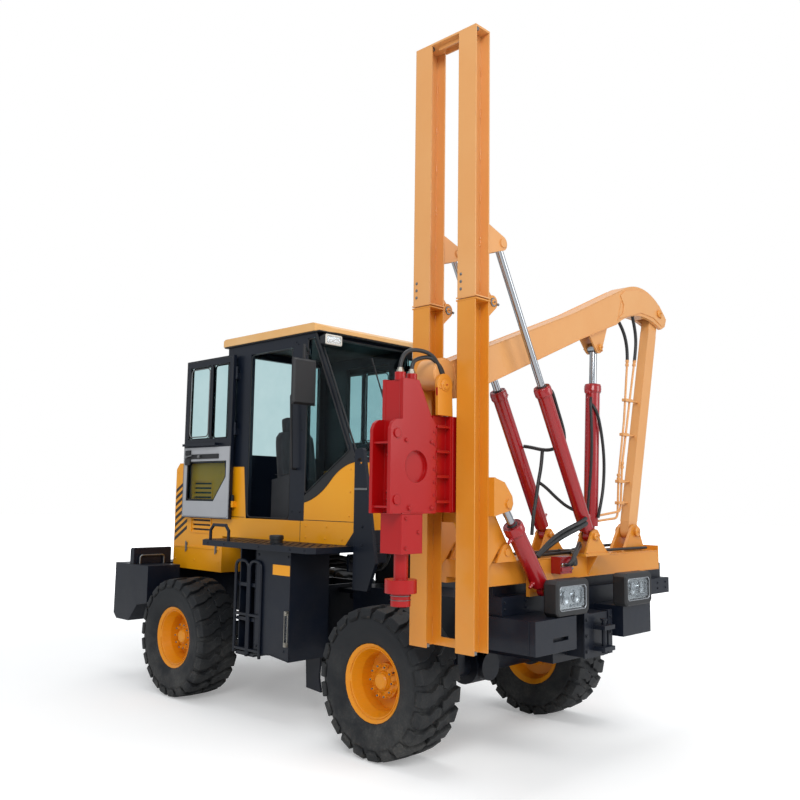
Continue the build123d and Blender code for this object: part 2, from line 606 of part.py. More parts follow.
class Ram:
    """A cylinder between a foot pin and the eye of its rod, drawn in the plane x."""

    def __init__(self, foot, eye, x, barrel_r, rod_r, barrel_length, tail, inward, eye_r, eye_w):
        self.foot, self.eye, self.x, self.inward = foot, eye, x, inward
        self.barrel_r, self.rod_r, self.barrel_length, self.tail = barrel_r, rod_r, barrel_length, tail
        self.eye_r, self.eye_w = eye_r, eye_w
        self.along = (Vector(0, *eye) - Vector(0, *foot)).normalized()
        self.length = hypot(eye[0] - foot[0], eye[1] - foot[1])

    def at(self, distance):
        return Vector(self.x, *self.foot) + self.along * distance

    def barrel(self, pin_r):
        tube = rod_between(self.at(1.6 * self.eye_r), self.at(self.barrel_length), self.barrel_r)
        tube += rod_between(self.at(0.5 * self.eye_r), self.at(1.7 * self.eye_r), 0.55 * self.eye_w)
        gland = rod_between(self.at(self.barrel_length - 70), self.at(self.barrel_length), self.barrel_r + 6)
        half = self.eye_w / 2
        boss = rod_x(*self.foot, self.eye_r, self.x - half, self.x + half)
        bore = rod_between(self.at(self.tail - self.inward - 8), self.at(self.barrel_length + 1), self.rod_r + RUN)
        return tube + gland + boss - bore - rod_x(*self.foot, pin_r + RUN, self.x - half - 60, self.x + half + 60)

    def rod(self, pin_r):
        half = self.eye_w / 2
        shaft = rod_between(self.at(self.tail), self.at(self.length - 0.8 * self.eye_r), self.rod_r)
        return shaft + rod_x(*self.eye, self.eye_r, self.x - half, self.x + half)


# foot, eye, x, barrel radius, rod radius, barrel length, rod's tail from the foot, its way in, eye radius and width
LIFT = Ram(LIFT_FOOT, LIFT_EYE, MAST_X, 58, 30, 1225, 330, 160, 45, 60)
TILT = Ram(TILT_FOOT, TILT_EYE, TILT_X, 60, 27, 570, 300, 20, 40, 46)
FOLDS = [Ram(FOLD_FOOT, FOLD_EYE, x, 54, 27, 1235, 1130, 535, 42, 50) for x in COLUMNS_X]


# ---------------------------------------------------------------- post and boom

def post():
    (y0, z0), (y1, z1) = POST_FOOT, ELBOW
    lean = atan2(z1 - z0, y1 - y0)
    half, w = POST_HALF, POST_W / 2
    ny, nz = -sin(lean), cos(lean)
    low, high = (y0 + 75 * cos(lean), z0 + 75 * sin(lean)), (y1 - 190 * cos(lean), z1 - 190 * sin(lean))
    box = [(low[0] + half * ny, low[1] + half * nz), (high[0] + half * ny, high[1] + half * nz),
           (high[0] - half * ny, high[1] - half * nz), (low[0] - half * ny, low[1] - half * nz)]
    body = plate_yz(box, MAST_X - w, MAST_X + w)
    body += lug(POST_FOOT, 56, (box[0], box[3]), MAST_X - w, MAST_X + w)
    body += lug(ELBOW, 70, (box[1], box[2]), MAST_X - TONGUE / 2, MAST_X + TONGUE / 2)
    body -= rod_x(*POST_FOOT, 35 + RUN, MAST_X - 100, MAST_X + 100)
    return body - rod_x(*ELBOW, 30 + RUN, MAST_X - 100, MAST_X + 100)


def boom_profile():
    with BuildSketch() as sketch:
        with BuildLine():
            top = Polyline((-1300, 2760), (-800, 2950), (180, 3325), (940, 3655))
            crown = ThreePointArc(top @ 1, (BOOM_TAIL - 405, 3728), (BOOM_TAIL, 3520))
            end = Polyline(crown @ 1, (BOOM_TAIL - 30, 3450), (BOOM_TAIL - 100, 3415))
            belly = ThreePointArc(end @ 1, (BOOM_TAIL - 475, 3478), (850, 3345))
            Polyline(belly @ 1, (320, 3150), (-730, 2725), (-1240, 2520), (-1300, 2760))
        make_face()
    return sketch.sketch


def boom():
    half, (y, z), w = BOOM_W / 2, ELBOW, TONGUE / 2 + 5
    body = extrude(Plane.YZ.offset(MAST_X - half) * boom_profile(), amount=BOOM_W, dir=(1, 0, 0))
    body += rod_x(*BOOM_HEAD, HEAD_R, MAST_X - half, MAST_X + half)
    # room for the top of the post, which stands in the boom's tail
    body -= rod_x(y, z, 100, MAST_X - w, MAST_X + w)
    slot = [(y - 260, z - 350), (y - 170, z + 30), (y + 100, z + 30), (y + 100, z - 65), (y + 280, z - 65),
            (y + 280, z - 350)]
    body -= plate_yz(slot, MAST_X - w, MAST_X + w)
    body += rod_x(y, z, 30, MAST_X - half - 14, MAST_X + half + 14)
    feet = ((LIFT_EYE[0] - 170, LIFT_EYE[1] + 105), (LIFT_EYE[0] + 150, LIFT_EYE[1] + 225))
    for part in ears(LIFT_EYE, 48, feet, MAST_X, 76, 16, 30):
        body += part
    return body


# ---------------------------------------------------------------- mast

def beam_plates(x, z0, z1, gap):
    """The outer flange, web and inner flange of an H section whose flanges face across the machine."""
    h, seat = BEAM / 2, BEAM / 2 - BEAM_FLANGE
    web = block(x - BEAM_WEB / 2, x + BEAM_WEB / 2, MAST_Y - seat + gap, MAST_Y + seat - gap, z0, z1)
    return (block(x - h, x + h, MAST_Y - h, MAST_Y - seat, z0, z1), web,
            block(x - h, x + h, MAST_Y + seat, MAST_Y + h, z0, z1))


def beam(x, z0, z1):
    outer, web, inner = beam_plates(x, z0, z1, 0)
    return outer + web + inner


def mast_lower():
    inner = MAST_Y + BEAM / 2
    gusset = [(inner, 1910), (-1080, 1870), (-862, 1555), (-850, 1510), (-960, 1530), (inner, 1330)]
    body = beam(COLUMNS_X[0], MAST_BASE, SPLIT_Z - SPLIT_GAP) + beam(COLUMNS_X[1], MAST_BASE, SPLIT_Z - SPLIT_GAP)
    for x in COLUMNS_X:
        leg = plate_yz(gusset, x - 12, x + 12) + rod_x(*TILT_PIVOT, 55, x - 12, x + 12)
        body += leg - rod_x(*TILT_PIVOT, 25 + RUN, x - 20, x + 20)
        body += clevis(HINGE, 48, ((inner, HINGE[1] - 130), (inner, HINGE[1] - SPLIT_GAP)), x, 60, 18, 20)
    # cross ties at the foot and between the legs join the two columns
    left, right = COLUMNS_X
    body += block(left, right, inner - BEAM_FLANGE, inner + 10, MAST_BASE, MAST_BASE + 55)
    body += block(left + 11, right - 11, -1130, -1110, 1700, 1870)
    # the tilt cylinder's eye sits between two plates on a strip across the front column
    y, z = TILT_EYE
    body += block(right, TILT_X + 33 + 18, inner, inner + 14, z - 80, z + 170)
    eye = [(inner, z + 170), (y - 40, z + 140), (y + 42, z + 50), (y + 52, z), (y + 30, z - 42), (inner, z - 80)]
    for x0, x1 in pair(TILT_X, 66, 18):
        body += plate_yz(eye, x0, x1)
    return body + rod_x(*TILT_EYE, 30, TILT_X + 51, TILT_X + 63)


def mast_upper():
    """Columns built from three plates each, the head plate, and the lugs of the hinge and the folding rams."""
    inner, outer = MAST_Y + BEAM / 2, MAST_Y - BEAM / 2
    left, right = COLUMNS_X
    h = BEAM / 2
    plates = [block(left - h, right + h, outer, inner, MAST_TOP, MAST_TOP + TOP_PLATE)]
    for x in COLUMNS_X:
        outer_flange, web, inner_flange = beam_plates(x, SPLIT_Z, MAST_TOP - FIT, FIT)
        tongue = lug(HINGE, 46, ((inner, SPLIT_Z + 5), (inner, HINGE[1] + 135)), x - 25, x + 25)
        inner_flange += tongue - rod_x(*HINGE, 20 + RUN, x - 30, x + 30)
        for part in ears(FOLD_EYE, 50, ((inner, FOLD_EYE[1] - 110), (inner, FOLD_EYE[1] + 110)), x, 66, 16, 30):
            inner_flange += part
        plates += [outer_flange, web, inner_flange]
    return plates


# ---------------------------------------------------------------- hammer

def carriage():
    """Cheeks between the columns, and the rollers on stub axles that run inside the H sections."""
    half, z0, z1 = CARRIAGE_W / 2, 1770, 2390
    roller_r, rollers = BEAM / 2 - BEAM_FLANGE - ROLLER_GAP, []
    body = block(MAST_X - half, MAST_X + half, -1335, -1310, z0, z1)
    for side in (-1, 1):
        x0, x1 = sorted((MAST_X + side * half, MAST_X + side * (half - 20)))
        body += block(x0, x1, -1311, -1150, z0, z1)
        cheek = lug((-1392, 2590), 72, ((-1315, z1 - 1), (-1455, z1 - 1)), x0 + 5 * (side > 0), x1 - 5 * (side < 0))
        body += cheek + rod_x(-1392, 2590, 26, *sorted((MAST_X + side * (half - 15), MAST_X + side * (half + 6))))
        for z in (z0 + 90, z1 - 90):
            xa, xb = sorted((MAST_X + side * (half + FIT), MAST_X + side * 138))
            axle = rod_x(MAST_Y, z, 25, xa, xb)
            xa, xb = sorted((MAST_X + side * 138, MAST_X + side * 188))
            rollers.append(axle + rod_x(MAST_Y, z, roller_r, xa, xb))
    body += block(MAST_X - 60, MAST_X + 60, -1456, -1335, z0, z1)
    for z in (1830, 1990, 2150, 2310):
        body += block(MAST_X - half + 5, MAST_X + half - 5, -1456, -1335, z, z + 14)
    return [body, *rollers]


def hammer():
    """Box of two side plates round the breaker, with its lower housing, piston and drive cap."""
    x0, x1, back, front, core_front, y = MAST_X - 90, MAST_X + 90, -1456, HAMMER_FRONT, -1768, DRIVE_Y
    side = [(back, 1765), (back, 2330), (-1500, 2370), (-1622, 2600), (core_front, 2600), (core_front, 2345),
            (front + 50, 2340), (front + 18, 2318), (front, 2280), (front, 1765)]
    core = [(core_front, 1765), (core_front, 2590), (-1645, 2590), (-1530, 2370), (-1500, 2330), (-1500, 1765)]
    body = plate_yz(core, x0 + 24, x1 - 24) + block(x0 + 24, x1 - 24, -1500, back, 1765, 2330)
    for xa, xb in ((x0, x0 + 25), (x1 - 25, x1)):
        body += plate_yz(side, xa, xb) - rod_x(-1640, 2055, 100, xa - 1, xb + 1)
    # shelves across the open channel ahead of the breaker
    for z in (1800, 2190):
        body += block(x0 + 24, x1 - 24, front + 12, core_front + 1, z, z + 12)
    body += block(x0, x1, core_front, -1580, 1520, 1766)
    for r, z0, z1 in ((45, 1360, 1521), (100, 1280, 1362), (62, 1200, 1281)):
        body += rod_z(MAST_X, y, r, z0, z1)
    body -= rod_z(MAST_X, y, SOCKET_R, 1199, 1240)
    for y_port in (-1745, -1640):
        body += rod_z(MAST_X + 40, y_port, 34, 2589, 2640)
    return body


# ---------------------------------------------------------------- output

def nodes():
    """Every named piece of the rig as a list of solids that don't touch."""
    out = {}
    rear_x = -WHEELBASE
    out["rear_frame"] = [rear_frame()]
    out["rear_axle"] = [axle(rear_x, FRAME_HALF - 45)]
    out["counterweight"] = [counterweight()]
    out["rear_fenders"] = rear_fenders()
    out["engine_block"] = [engine()]
    out["hood"] = [hood()]
    out["radiator_guard"] = [radiator_guard()]
    out["side_platforms"] = both_sides(side_platform())
    out["guard_posts"] = both_sides(guard_post())
    out["grab_rails"] = grab_rails()
    out["cab_frame"] = [cab_frame()]
    out["cab_skirt"] = [skirt().fuse(*hinge_straps(HINGE_Z[0]))]
    out["cab_roof"] = [cab_roof()]
    out["cab_glass"] = cab_glass()
    out["seat"] = seat()
    out["controls"] = [controls()] + consoles()
    out["mirrors"] = mirrors()
    out["work_lamps"] = work_lamps()
    panel, glass = door(-1, True)
    out["door_right"], out["door_right_glass"] = [panel], glass
    panel, glass = door(1, False)
    out["door_left"], out["door_left_glass"] = [panel], glass
    out["front_frame"] = [front_frame()]
    out["front_axle"] = [axle(0, FRONT_HALF - 30)]
    out["headlights"] = headlights()
    out["slide_base"] = [slide_base()]
    for corner, x, side in (("front_right", 0, -1), ("front_left", 0, 1), ("rear_right", rear_x, -1),
                            ("rear_left", rear_x, 1)):
        y = side * TRACK / 2
        out["tyre_" + corner] = [tyre(x, y, side)]
        out["rim_" + corner] = [rim(x, y, side)]
    out["deck"] = [deck()]
    out["valve_block"] = [valve_block()]
    out["post"] = [post()]
    out["boom"] = [boom()]
    out["lift_barrel"] = [LIFT.barrel(25)]
    out["lift_rod"] = [LIFT.rod(25)]
    out["fold_barrels"] = [ram.barrel(25) for ram in FOLDS]
    out["fold_rods"] = [ram.rod(25) for ram in FOLDS]
    out["tilt_barrel"] = [TILT.barrel(22)]
    out["tilt_rod"] = [TILT.rod(22)]
    out["mast_lower"] = [mast_lower()]
    out["mast_upper"] = mast_upper()
    out["carriage"] = carriage()
    out["hammer"] = [hammer()]
    return out


def main():
    os.makedirs("parts", exist_ok=True)
    place = Pos(FRONT_AXLE_X, CENTRE_LINE_Y, 0)
    for name, shapes in nodes().items():
        solids = [solid for shape in shapes for solid in shape.solids()]
        export_step(place * Compound(children=solids), f"parts/{name}.step")


main()
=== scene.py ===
from math import cos, pi, radians, sin

import bmesh
import bpy
from mathutils import Matrix, Vector


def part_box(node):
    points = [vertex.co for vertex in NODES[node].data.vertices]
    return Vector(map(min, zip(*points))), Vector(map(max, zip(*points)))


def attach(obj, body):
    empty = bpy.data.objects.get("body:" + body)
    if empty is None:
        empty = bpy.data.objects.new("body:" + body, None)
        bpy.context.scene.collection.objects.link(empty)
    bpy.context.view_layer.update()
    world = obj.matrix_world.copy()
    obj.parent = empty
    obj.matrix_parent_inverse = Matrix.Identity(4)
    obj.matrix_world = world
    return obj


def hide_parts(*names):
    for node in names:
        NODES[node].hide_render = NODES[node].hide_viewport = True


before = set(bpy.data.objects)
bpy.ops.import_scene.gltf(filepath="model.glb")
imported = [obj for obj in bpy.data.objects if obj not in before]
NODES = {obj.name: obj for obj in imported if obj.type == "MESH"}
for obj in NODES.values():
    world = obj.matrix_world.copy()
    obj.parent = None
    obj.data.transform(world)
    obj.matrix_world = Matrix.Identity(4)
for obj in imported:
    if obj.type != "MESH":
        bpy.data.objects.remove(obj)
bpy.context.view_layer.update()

# Every piece below is drawn in the machine's own frame: the origin is on the ground under the front
# axle, half way between the wheels, +X ahead, +Y left, +Z up, all in metres.
wheel_low, wheel_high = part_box("tyre_front_right")
hood_low, hood_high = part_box("hood")
ORIGIN = Vector(((wheel_low.x + wheel_high.x) / 2, (hood_low.y + hood_high.y) / 2, 0))

WHEELBASE = 2.65
WHEEL_Y = 0.965
TYRE_R = (wheel_high.z - wheel_low.z) / 2
MAST_X = 0.793
MAST_Y = -1.225
BEAM = 0.15
COLUMNS_X = (0.594, 0.992)      # the mast's two columns
WELD_PITCH = 0.30               # from one stitch weld to the next
CAB_SIDE = 0.650                # the cab's and the hood's outer faces
TANK_SIDE = 1.050
PLATFORM_TOP = 1.455
HEAD_PIN = (-1.392, 2.590)      # y and z of the pin in the carriage's head
SIDES = ((-1, "right"), (1, "left"))


# ---------------------------------------------------------------- shader groups

def new_group(name, inputs, outputs):
    """An empty shader group with float, colour and vector sockets by name."""
    group = bpy.data.node_groups.new(name, "ShaderNodeTree")
    kinds = {"f": "NodeSocketFloat", "c": "NodeSocketColor", "v": "NodeSocketVector"}
    for label, kind, value in inputs:
        socket = group.interface.new_socket(label, in_out="INPUT", socket_type=kinds[kind])
        if value is not None:
            socket.default_value = value
    for label, kind in outputs:
        group.interface.new_socket(label, in_out="OUTPUT", socket_type=kinds[kind])
    return group, group.nodes.new("NodeGroupInput"), group.nodes.new("NodeGroupOutput")


def add(tree, kind, **values):
    """A node with its settings, and with inputs given as i0, i1... or by name."""
    node = tree.nodes.new("ShaderNode" + kind)
    for key, value in values.items():
        if key.startswith("i_"):
            node.inputs[int(key[2:])].default_value = value
        else:
            setattr(node, key, value)
    return node


def join(tree, source, target):
    tree.links.new(source, target)


def maths(tree, operation, a, b=None):
    node = add(tree, "Math", operation=operation, use_clamp=operation == "MULTIPLY_ADD")
    for socket, value in zip(node.inputs, (a, b)):
        if value is None:
            continue
        if hasattr(value, "links"):
            join(tree, value, socket)
        else:
            socket.default_value = value
    return node.outputs[0]


def ramp(tree, factor, low, high):
    """0 below low and 1 above high, with a smooth step between."""
    node = add(tree, "MapRange", interpolation_type="SMOOTHSTEP", i_1=low, i_2=high)
    join(tree, factor, node.inputs[0])
    return node.outputs[0]


def noise(tree, where, scale, detail=4.0, rough=0.6):
    node = add(tree, "TexNoise", i_2=scale, i_3=detail, i_4=rough)
    join(tree, where, node.inputs[0])
    return node.outputs[0]


def build_edge_group():
    """Where a panel turns over an edge: rounds the light there and marks it for wear."""
    tree, ins, outs = new_group(
        "panel edges", [("Radius", "f", 0.004), ("Wear Scale", "f", 9.0), ("Wear", "f", 0.5)],
        [("Edge", "f"), ("Normal", "v")])
    where = tree.nodes.new("ShaderNodeTexCoord")
    bevel = add(tree, "Bevel", samples=6)
    join(tree, ins.outputs["Radius"], bevel.inputs["Radius"])
    plain = tree.nodes.new("ShaderNodeNewGeometry")
    dot = add(tree, "VectorMath", operation="DOT_PRODUCT")
    join(tree, bevel.outputs[0], dot.inputs[0])
    join(tree, plain.outputs["Normal"], dot.inputs[1])
    edge = ramp(tree, maths(tree, "SUBTRACT", 1.0, dot.outputs["Value"]), 0.01, 0.12)
    rub = noise(tree, where.outputs["Object"], 9.0, 6.0)
    join(tree, ins.outputs["Wear Scale"], rub.node.inputs[2])
    patch = ramp(tree, rub, 0.5, 0.62)
    worn = maths(tree, "MULTIPLY", maths(tree, "MULTIPLY", edge, patch), ins.outputs["Wear"])
    join(tree, worn, outs.inputs["Edge"])
    join(tree, bevel.outputs[0], outs.inputs["Normal"])
    return tree


def build_dust_group():
    """Road dust: more of it low down and on what faces up, broken by noise."""
    tree, ins, outs = new_group(
        "road dust", [("Low", "f", 0.2), ("High", "f", 1.4), ("On Top", "f", 0.3), ("Amount", "f", 0.5)],
        [("Dust", "f")])
    where = tree.nodes.new("ShaderNodeTexCoord")
    split = tree.nodes.new("ShaderNodeSeparateXYZ")
    join(tree, where.outputs["Object"], split.inputs[0])
    height = add(tree, "MapRange", i_3=1.0, i_4=0.0)
    join(tree, split.outputs["Z"], height.inputs[0])
    join(tree, ins.outputs["Low"], height.inputs[1])
    join(tree, ins.outputs["High"], height.inputs[2])
    plain = tree.nodes.new("ShaderNodeNewGeometry")
    facing = tree.nodes.new("ShaderNodeSeparateXYZ")
    join(tree, plain.outputs["Normal"], facing.inputs[0])
    top = maths(tree, "MULTIPLY", maths(tree, "MAXIMUM", facing.outputs["Z"], 0.0), ins.outputs["On Top"])
    cloud = ramp(tree, noise(tree, where.outputs["Object"], 5.0, 8.0, 0.68), 0.32, 0.72)
    speck = ramp(tree, noise(tree, where.outputs["Object"], 60.0, 3.0, 0.6), 0.42, 0.7)
    spread = maths(tree, "MULTIPLY", maths(tree, "ADD", height.outputs[0], top), cloud)
    total = maths(tree, "ADD", spread, maths(tree, "MULTIPLY", maths(tree, "MULTIPLY", speck, spread), 0.7))
    join(tree, maths(tree, "MULTIPLY", total, ins.outputs["Amount"]), outs.inputs["Dust"])
    return tree


def build_coat_group():
    """Sprayed paint: slow shifts of shade and the fine orange-peel height of the film."""
    tree, ins, outs = new_group(
        "sprayed coat", [("Color", "c", (0.8, 0.8, 0.8, 1)), ("Fade", "c", (0.9, 0.9, 0.9, 1)),
                         ("Fading", "f", 0.3)],
        [("Color", "c"), ("Gloss Break", "f"), ("Height", "f")])
    where = tree.nodes.new("ShaderNodeTexCoord")
    patches = ramp(tree, noise(tree, where.outputs["Object"], 1.7, 5.0, 0.55), 0.35, 0.75)
    mix = add(tree, "Mix", data_type="RGBA")
    join(tree, maths(tree, "MULTIPLY", patches, ins.outputs["Fading"]), mix.inputs[0])
    join(tree, ins.outputs["Color"], mix.inputs[6])
    join(tree, ins.outputs["Fade"], mix.inputs[7])
    join(tree, mix.outputs[2], outs.inputs["Color"])
    join(tree, noise(tree, where.outputs["Object"], 14.0, 6.0, 0.7), outs.inputs["Gloss Break"])
    join(tree, noise(tree, where.outputs["Object"], 260.0, 2.0, 0.5), outs.inputs["Height"])
    return tree


EDGES = build_edge_group()
DUST = build_dust_group()
COAT = build_coat_group()


def rgb(text):
    """A colour written as six hex digits, in the linear values that sockets take."""
    parts = [int(text[i:i + 2], 16) / 255 for i in (0, 2, 4)]
    return tuple(v / 12.92 if v <= 0.04045 else ((v + 0.055) / 1.055) ** 2.4 for v in parts) + (1.0,)


def use_group(tree, group, **values):
    node = tree.nodes.new("ShaderNodeGroup")
    node.node_tree = group
    for key, value in values.items():
        node.inputs[key.replace("_", " ")].default_value = value
    return node


def new_material(name):
    material = bpy.data.materials.new(name)
    material.use_nodes = True
    tree = material.node_tree
    return material, tree, tree.nodes["Principled BSDF"]


def blend_colours(tree, factor, first, second):
    mix = add(tree, "Mix", data_type="RGBA")
    join(tree, factor, mix.inputs[0])
    for socket, value in ((mix.inputs[6], first), (mix.inputs[7], second)):
        if hasattr(value, "links"):
            join(tree, value, socket)
        else:
            socket.default_value = value
    return mix.outputs[2]


def bump(tree, shader, height, strength, distance, normal=None):
    node = add(tree, "Bump")
    node.inputs["Strength"].default_value = strength
    node.inputs["Distance"].default_value = distance
    join(tree, height, node.inputs["Height"])
    if normal is not None:
        join(tree, normal, node.inputs["Normal"])
    join(tree, node.outputs[0], shader.inputs["Normal"])


def paint(name, colour, fade, roughness=0.34, wear=0.5, under="3A3630", dust=0.35, dust_high=1.5, on_top=0.25,
          coat=0.35, edge=0.004, specular=0.5):
    """Sprayed steel: shade shifts, worn edges down to the primer, dust and orange peel."""
    material, tree, shader = new_material(name)
    film = use_group(tree, COAT, Color=rgb(colour), Fade=rgb(fade), Fading=0.55)
    edges = use_group(tree, EDGES, Radius=edge, Wear_Scale=11.0, Wear=wear)
    dusty = use_group(tree, DUST, Low=0.1, High=dust_high, On_Top=on_top, Amount=dust)
    worn = blend_colours(tree, edges.outputs["Edge"], film.outputs["Color"], rgb(under))
    full = blend_colours(tree, dusty.outputs["Dust"], worn, rgb("8C8272"))
    join(tree, full, shader.inputs["Base Color"])
    rough = maths(tree, "ADD", maths(tree, "MULTIPLY", film.outputs["Gloss Break"], 0.16), roughness - 0.08)
    rough = maths(tree, "ADD", rough, maths(tree, "MULTIPLY", dusty.outputs["Dust"], 0.45))
    join(tree, rough, shader.inputs["Roughness"])
    shader.inputs["Coat Weight"].default_value = coat
    shader.inputs["Coat Roughness"].default_value = 0.12
    shader.inputs["Specular IOR Level"].default_value = specular
    bump(tree, shader, film.outputs["Height"], 0.12, 0.0006, edges.outputs["Normal"])
    return material


def bare_metal(name, colour, roughness, dust=0.1, stretch=(1, 1, 1), wear=0.2):
    """Machined or polished steel with fine scratches along one way."""
    material, tree, shader = new_material(name)
    where = tree.nodes.new("ShaderNodeTexCoord")
    scale = add(tree, "Mapping")
    scale.inputs["Scale"].default_value = stretch
    join(tree, where.outputs["Object"], scale.inputs[0])
    lines = noise(tree, scale.outputs[0], 120.0, 3.0, 0.6)
    edges = use_group(tree, EDGES, Radius=0.002, Wear_Scale=20.0, Wear=wear)
    dusty = use_group(tree, DUST, Low=0.1, High=1.6, On_Top=0.2, Amount=dust)
    shade = blend_colours(tree, lines, rgb(colour), tuple(v * 0.72 for v in rgb(colour)[:3]) + (1.0,))
    join(tree, blend_colours(tree, dusty.outputs["Dust"], shade, rgb("7D7464")), shader.inputs["Base Color"])
    shader.inputs["Metallic"].default_value = 1.0
    rough = maths(tree, "ADD", maths(tree, "MULTIPLY", lines, 0.18), roughness - 0.06)
    join(tree, rough, shader.inputs["Roughness"])
    bump(tree, shader, lines, 0.06, 0.0004, edges.outputs["Normal"])
    return material


def plastic(name, colour, roughness=0.5, dust=0.2, grain=420.0):
    """Moulded plastic or rubber with a fine grain."""
    material, tree, shader = new_material(name)
    where = tree.nodes.new("ShaderNodeTexCoord")
    fine = noise(tree, where.outputs["Object"], grain, 2.0, 0.5)
    slow = noise(tree, where.outputs["Object"], 6.0, 4.0, 0.6)
    edges = use_group(tree, EDGES, Radius=0.003, Wear_Scale=16.0, Wear=0.25)
    dusty = use_group(tree, DUST, Low=0.1, High=1.8, On_Top=0.3, Amount=dust)
    lighter = tuple(min(1.0, v * 1.7 + 0.012) for v in rgb(colour)[:3]) + (1.0,)
    shade = blend_colours(tree, slow, rgb(colour), lighter)
    shade = blend_colours(tree, edges.outputs["Edge"], shade, lighter)
    join(tree, blend_colours(tree, dusty.outputs["Dust"], shade, rgb("8C8272")), shader.inputs["Base Color"])
    join(tree, maths(tree, "ADD", maths(tree, "MULTIPLY", slow, 0.2), roughness - 0.1),
         shader.inputs["Roughness"])
    bump(tree, shader, fine, 0.15, 0.0005, edges.outputs["Normal"])
    return material


def tyre_rubber():
    """Black rubber, grey with dried mud on the tread's outer face."""
    material, tree, shader = new_material("tyre rubber")
    where = tree.nodes.new("ShaderNodeTexCoord")
    cloud = noise(tree, where.outputs["Object"], 7.0, 8.0, 0.7)
    fine = noise(tree, where.outputs["Object"], 170.0, 4.0, 0.6)
    shade = blend_colours(tree, cloud, rgb("101317"), rgb("1B1E22"))
    edges = use_group(tree, EDGES, Radius=0.006, Wear_Scale=14.0, Wear=0.6)
    shade = blend_colours(tree, edges.outputs["Edge"], shade, rgb("4A4947"))
    dusty = use_group(tree, DUST, Low=0.1, High=0.9, On_Top=0.3, Amount=0.22)
    join(tree, blend_colours(tree, dusty.outputs["Dust"], shade, rgb("77756F")), shader.inputs["Base Color"])
    shader.inputs["Specular IOR Level"].default_value = 0.35
    join(tree, maths(tree, "ADD", maths(tree, "MULTIPLY", cloud, 0.25), 0.5), shader.inputs["Roughness"])
    bump(tree, shader, fine, 0.35, 0.0012, edges.outputs["Normal"])
    return material


def tinted_glass():
    material, tree, shader = new_material("tinted glazing")
    where = tree.nodes.new("ShaderNodeTexCoord")
    film = noise(tree, where.outputs["Object"], 3.5, 6.0, 0.65)
    colour = blend_colours(tree, film, rgb("A9C8CC"), rgb("BFD8DA"))
    join(tree, colour, shader.inputs["Base Color"])
    shader.inputs["Transmission Weight"].default_value = 1.0
    shader.inputs["IOR"].default_value = 1.12
    join(tree, maths(tree, "MULTIPLY", ramp(tree, film, 0.45, 0.8), 0.06), shader.inputs["Roughness"])
    fine = noise(tree, where.outputs["Object"], 1.2, 2.0, 0.5)
    bump(tree, shader, fine, 0.05, 0.002)
    return material


def clear_lens():
    material, tree, shader = new_material("lamp lens")
    where = tree.nodes.new("ShaderNodeTexCoord")
    flutes = add(tree, "TexWave", bands_direction="Y", i_1=60.0)
    join(tree, where.outputs["Object"], flutes.inputs[0])
    haze = noise(tree, where.outputs["Object"], 40.0)
    join(tree, blend_colours(tree, haze, rgb("E9EEF0"), rgb("F8FBFC")), shader.inputs["Base Color"])
    shader.inputs["Transmission Weight"].default_value = 1.0
    shader.inputs["IOR"].default_value = 1.2
    join(tree, maths(tree, "MULTIPLY", haze, 0.08), shader.inputs["Roughness"])
    bump(tree, shader, flutes.outputs["Color"], 0.25, 0.002)
    return material


def seat_cloth():
    material, tree, shader = new_material("seat cloth")
    where = tree.nodes.new("ShaderNodeTexCoord")
    weave = add(tree, "TexVoronoi", i_2=320.0)
    join(tree, where.outputs["Object"], weave.inputs[0])
    slow = noise(tree, where.outputs["Object"], 9.0)
    join(tree, blend_colours(tree, slow, rgb("25272B"), rgb("3B3E44")), shader.inputs["Base Color"])
    join(tree, maths(tree, "ADD", maths(tree, "MULTIPLY", slow, 0.1), 0.8), shader.inputs["Roughness"])
    shader.inputs["Sheen Weight"].default_value = 0.3
    bump(tree, shader, weave.outputs["Distance"], 0.5, 0.001)
    return material


BODY_YELLOW = paint("body yellow paint", "F2A006", "F4AA1C", 0.32, wear=0.2, dust=0.05, on_top=0.08,
                    coat=0.25,
                    specular=0.35)
ARM_ORANGE = paint("arm orange paint", "D88820", "DE9838", 0.36, wear=0.3, dust=0.1, dust_high=1.8)
ARM_PALE = paint("sun-bleached arm paint", "DE9C58", "E2A868", 0.4, wear=0.3, dust=0.05, dust_high=1.8)
LAMP_RED = plastic("red lamp plastic", "8E1016", 0.2, dust=0.05)
ROOF_CREAM = paint("roof paint", "E9B066", "F0C890", 0.45, wear=0.2, dust=0.1)
FRAME_NAVY = paint("chassis navy paint", "09111E", "0E1828", 0.42, wear=0.12, under="3C4048", dust=0.04,
                   on_top=0.1,
                   coat=0.12, specular=0.3)
CYLINDER_RED = paint("cylinder red paint", "9A0A12", "A4121C", 0.25, wear=0.25, dust=0.03, on_top=0.06,
                     coat=0.5)
HAMMER_RED = paint("hammer red paint", "A60508", "AE0B0F", 0.36, wear=0.3, dust=0.04, on_top=0.08, coat=0.2,
                   edge=0.005,
                   specular=0.35)
RIM_ORANGE = paint("wheel paint", "E48E04", "E4960F", 0.4, wear=0.3, dust=0.1, dust_high=0.8, on_top=0.06,
                   coat=0.15,
                   specular=0.35)
DOOR_GREY = paint("door lining grey", "A9ABAF", "B8BABD", 0.5, wear=0.25, dust=0.15, coat=0.1)
WARM_WHITE = paint("chipped stripe white", "D9D4C8", "E2DED4", 0.5, wear=0.3, dust=0.2, coat=0.1)
STRIPE_BLACK = paint("stripe black", "1B1714", "251E1A", 0.5, wear=0.3, dust=0.2, coat=0.1)
CHROME = bare_metal("chrome rod", "B9BDC2", 0.12, dust=0.03)
STEEL = bare_metal("bare steel", "8E8F90", 0.38, dust=0.2, wear=0.5)
ZINC = bare_metal("zinc-plated fittings", "B4B0A6", 0.34, dust=0.15)
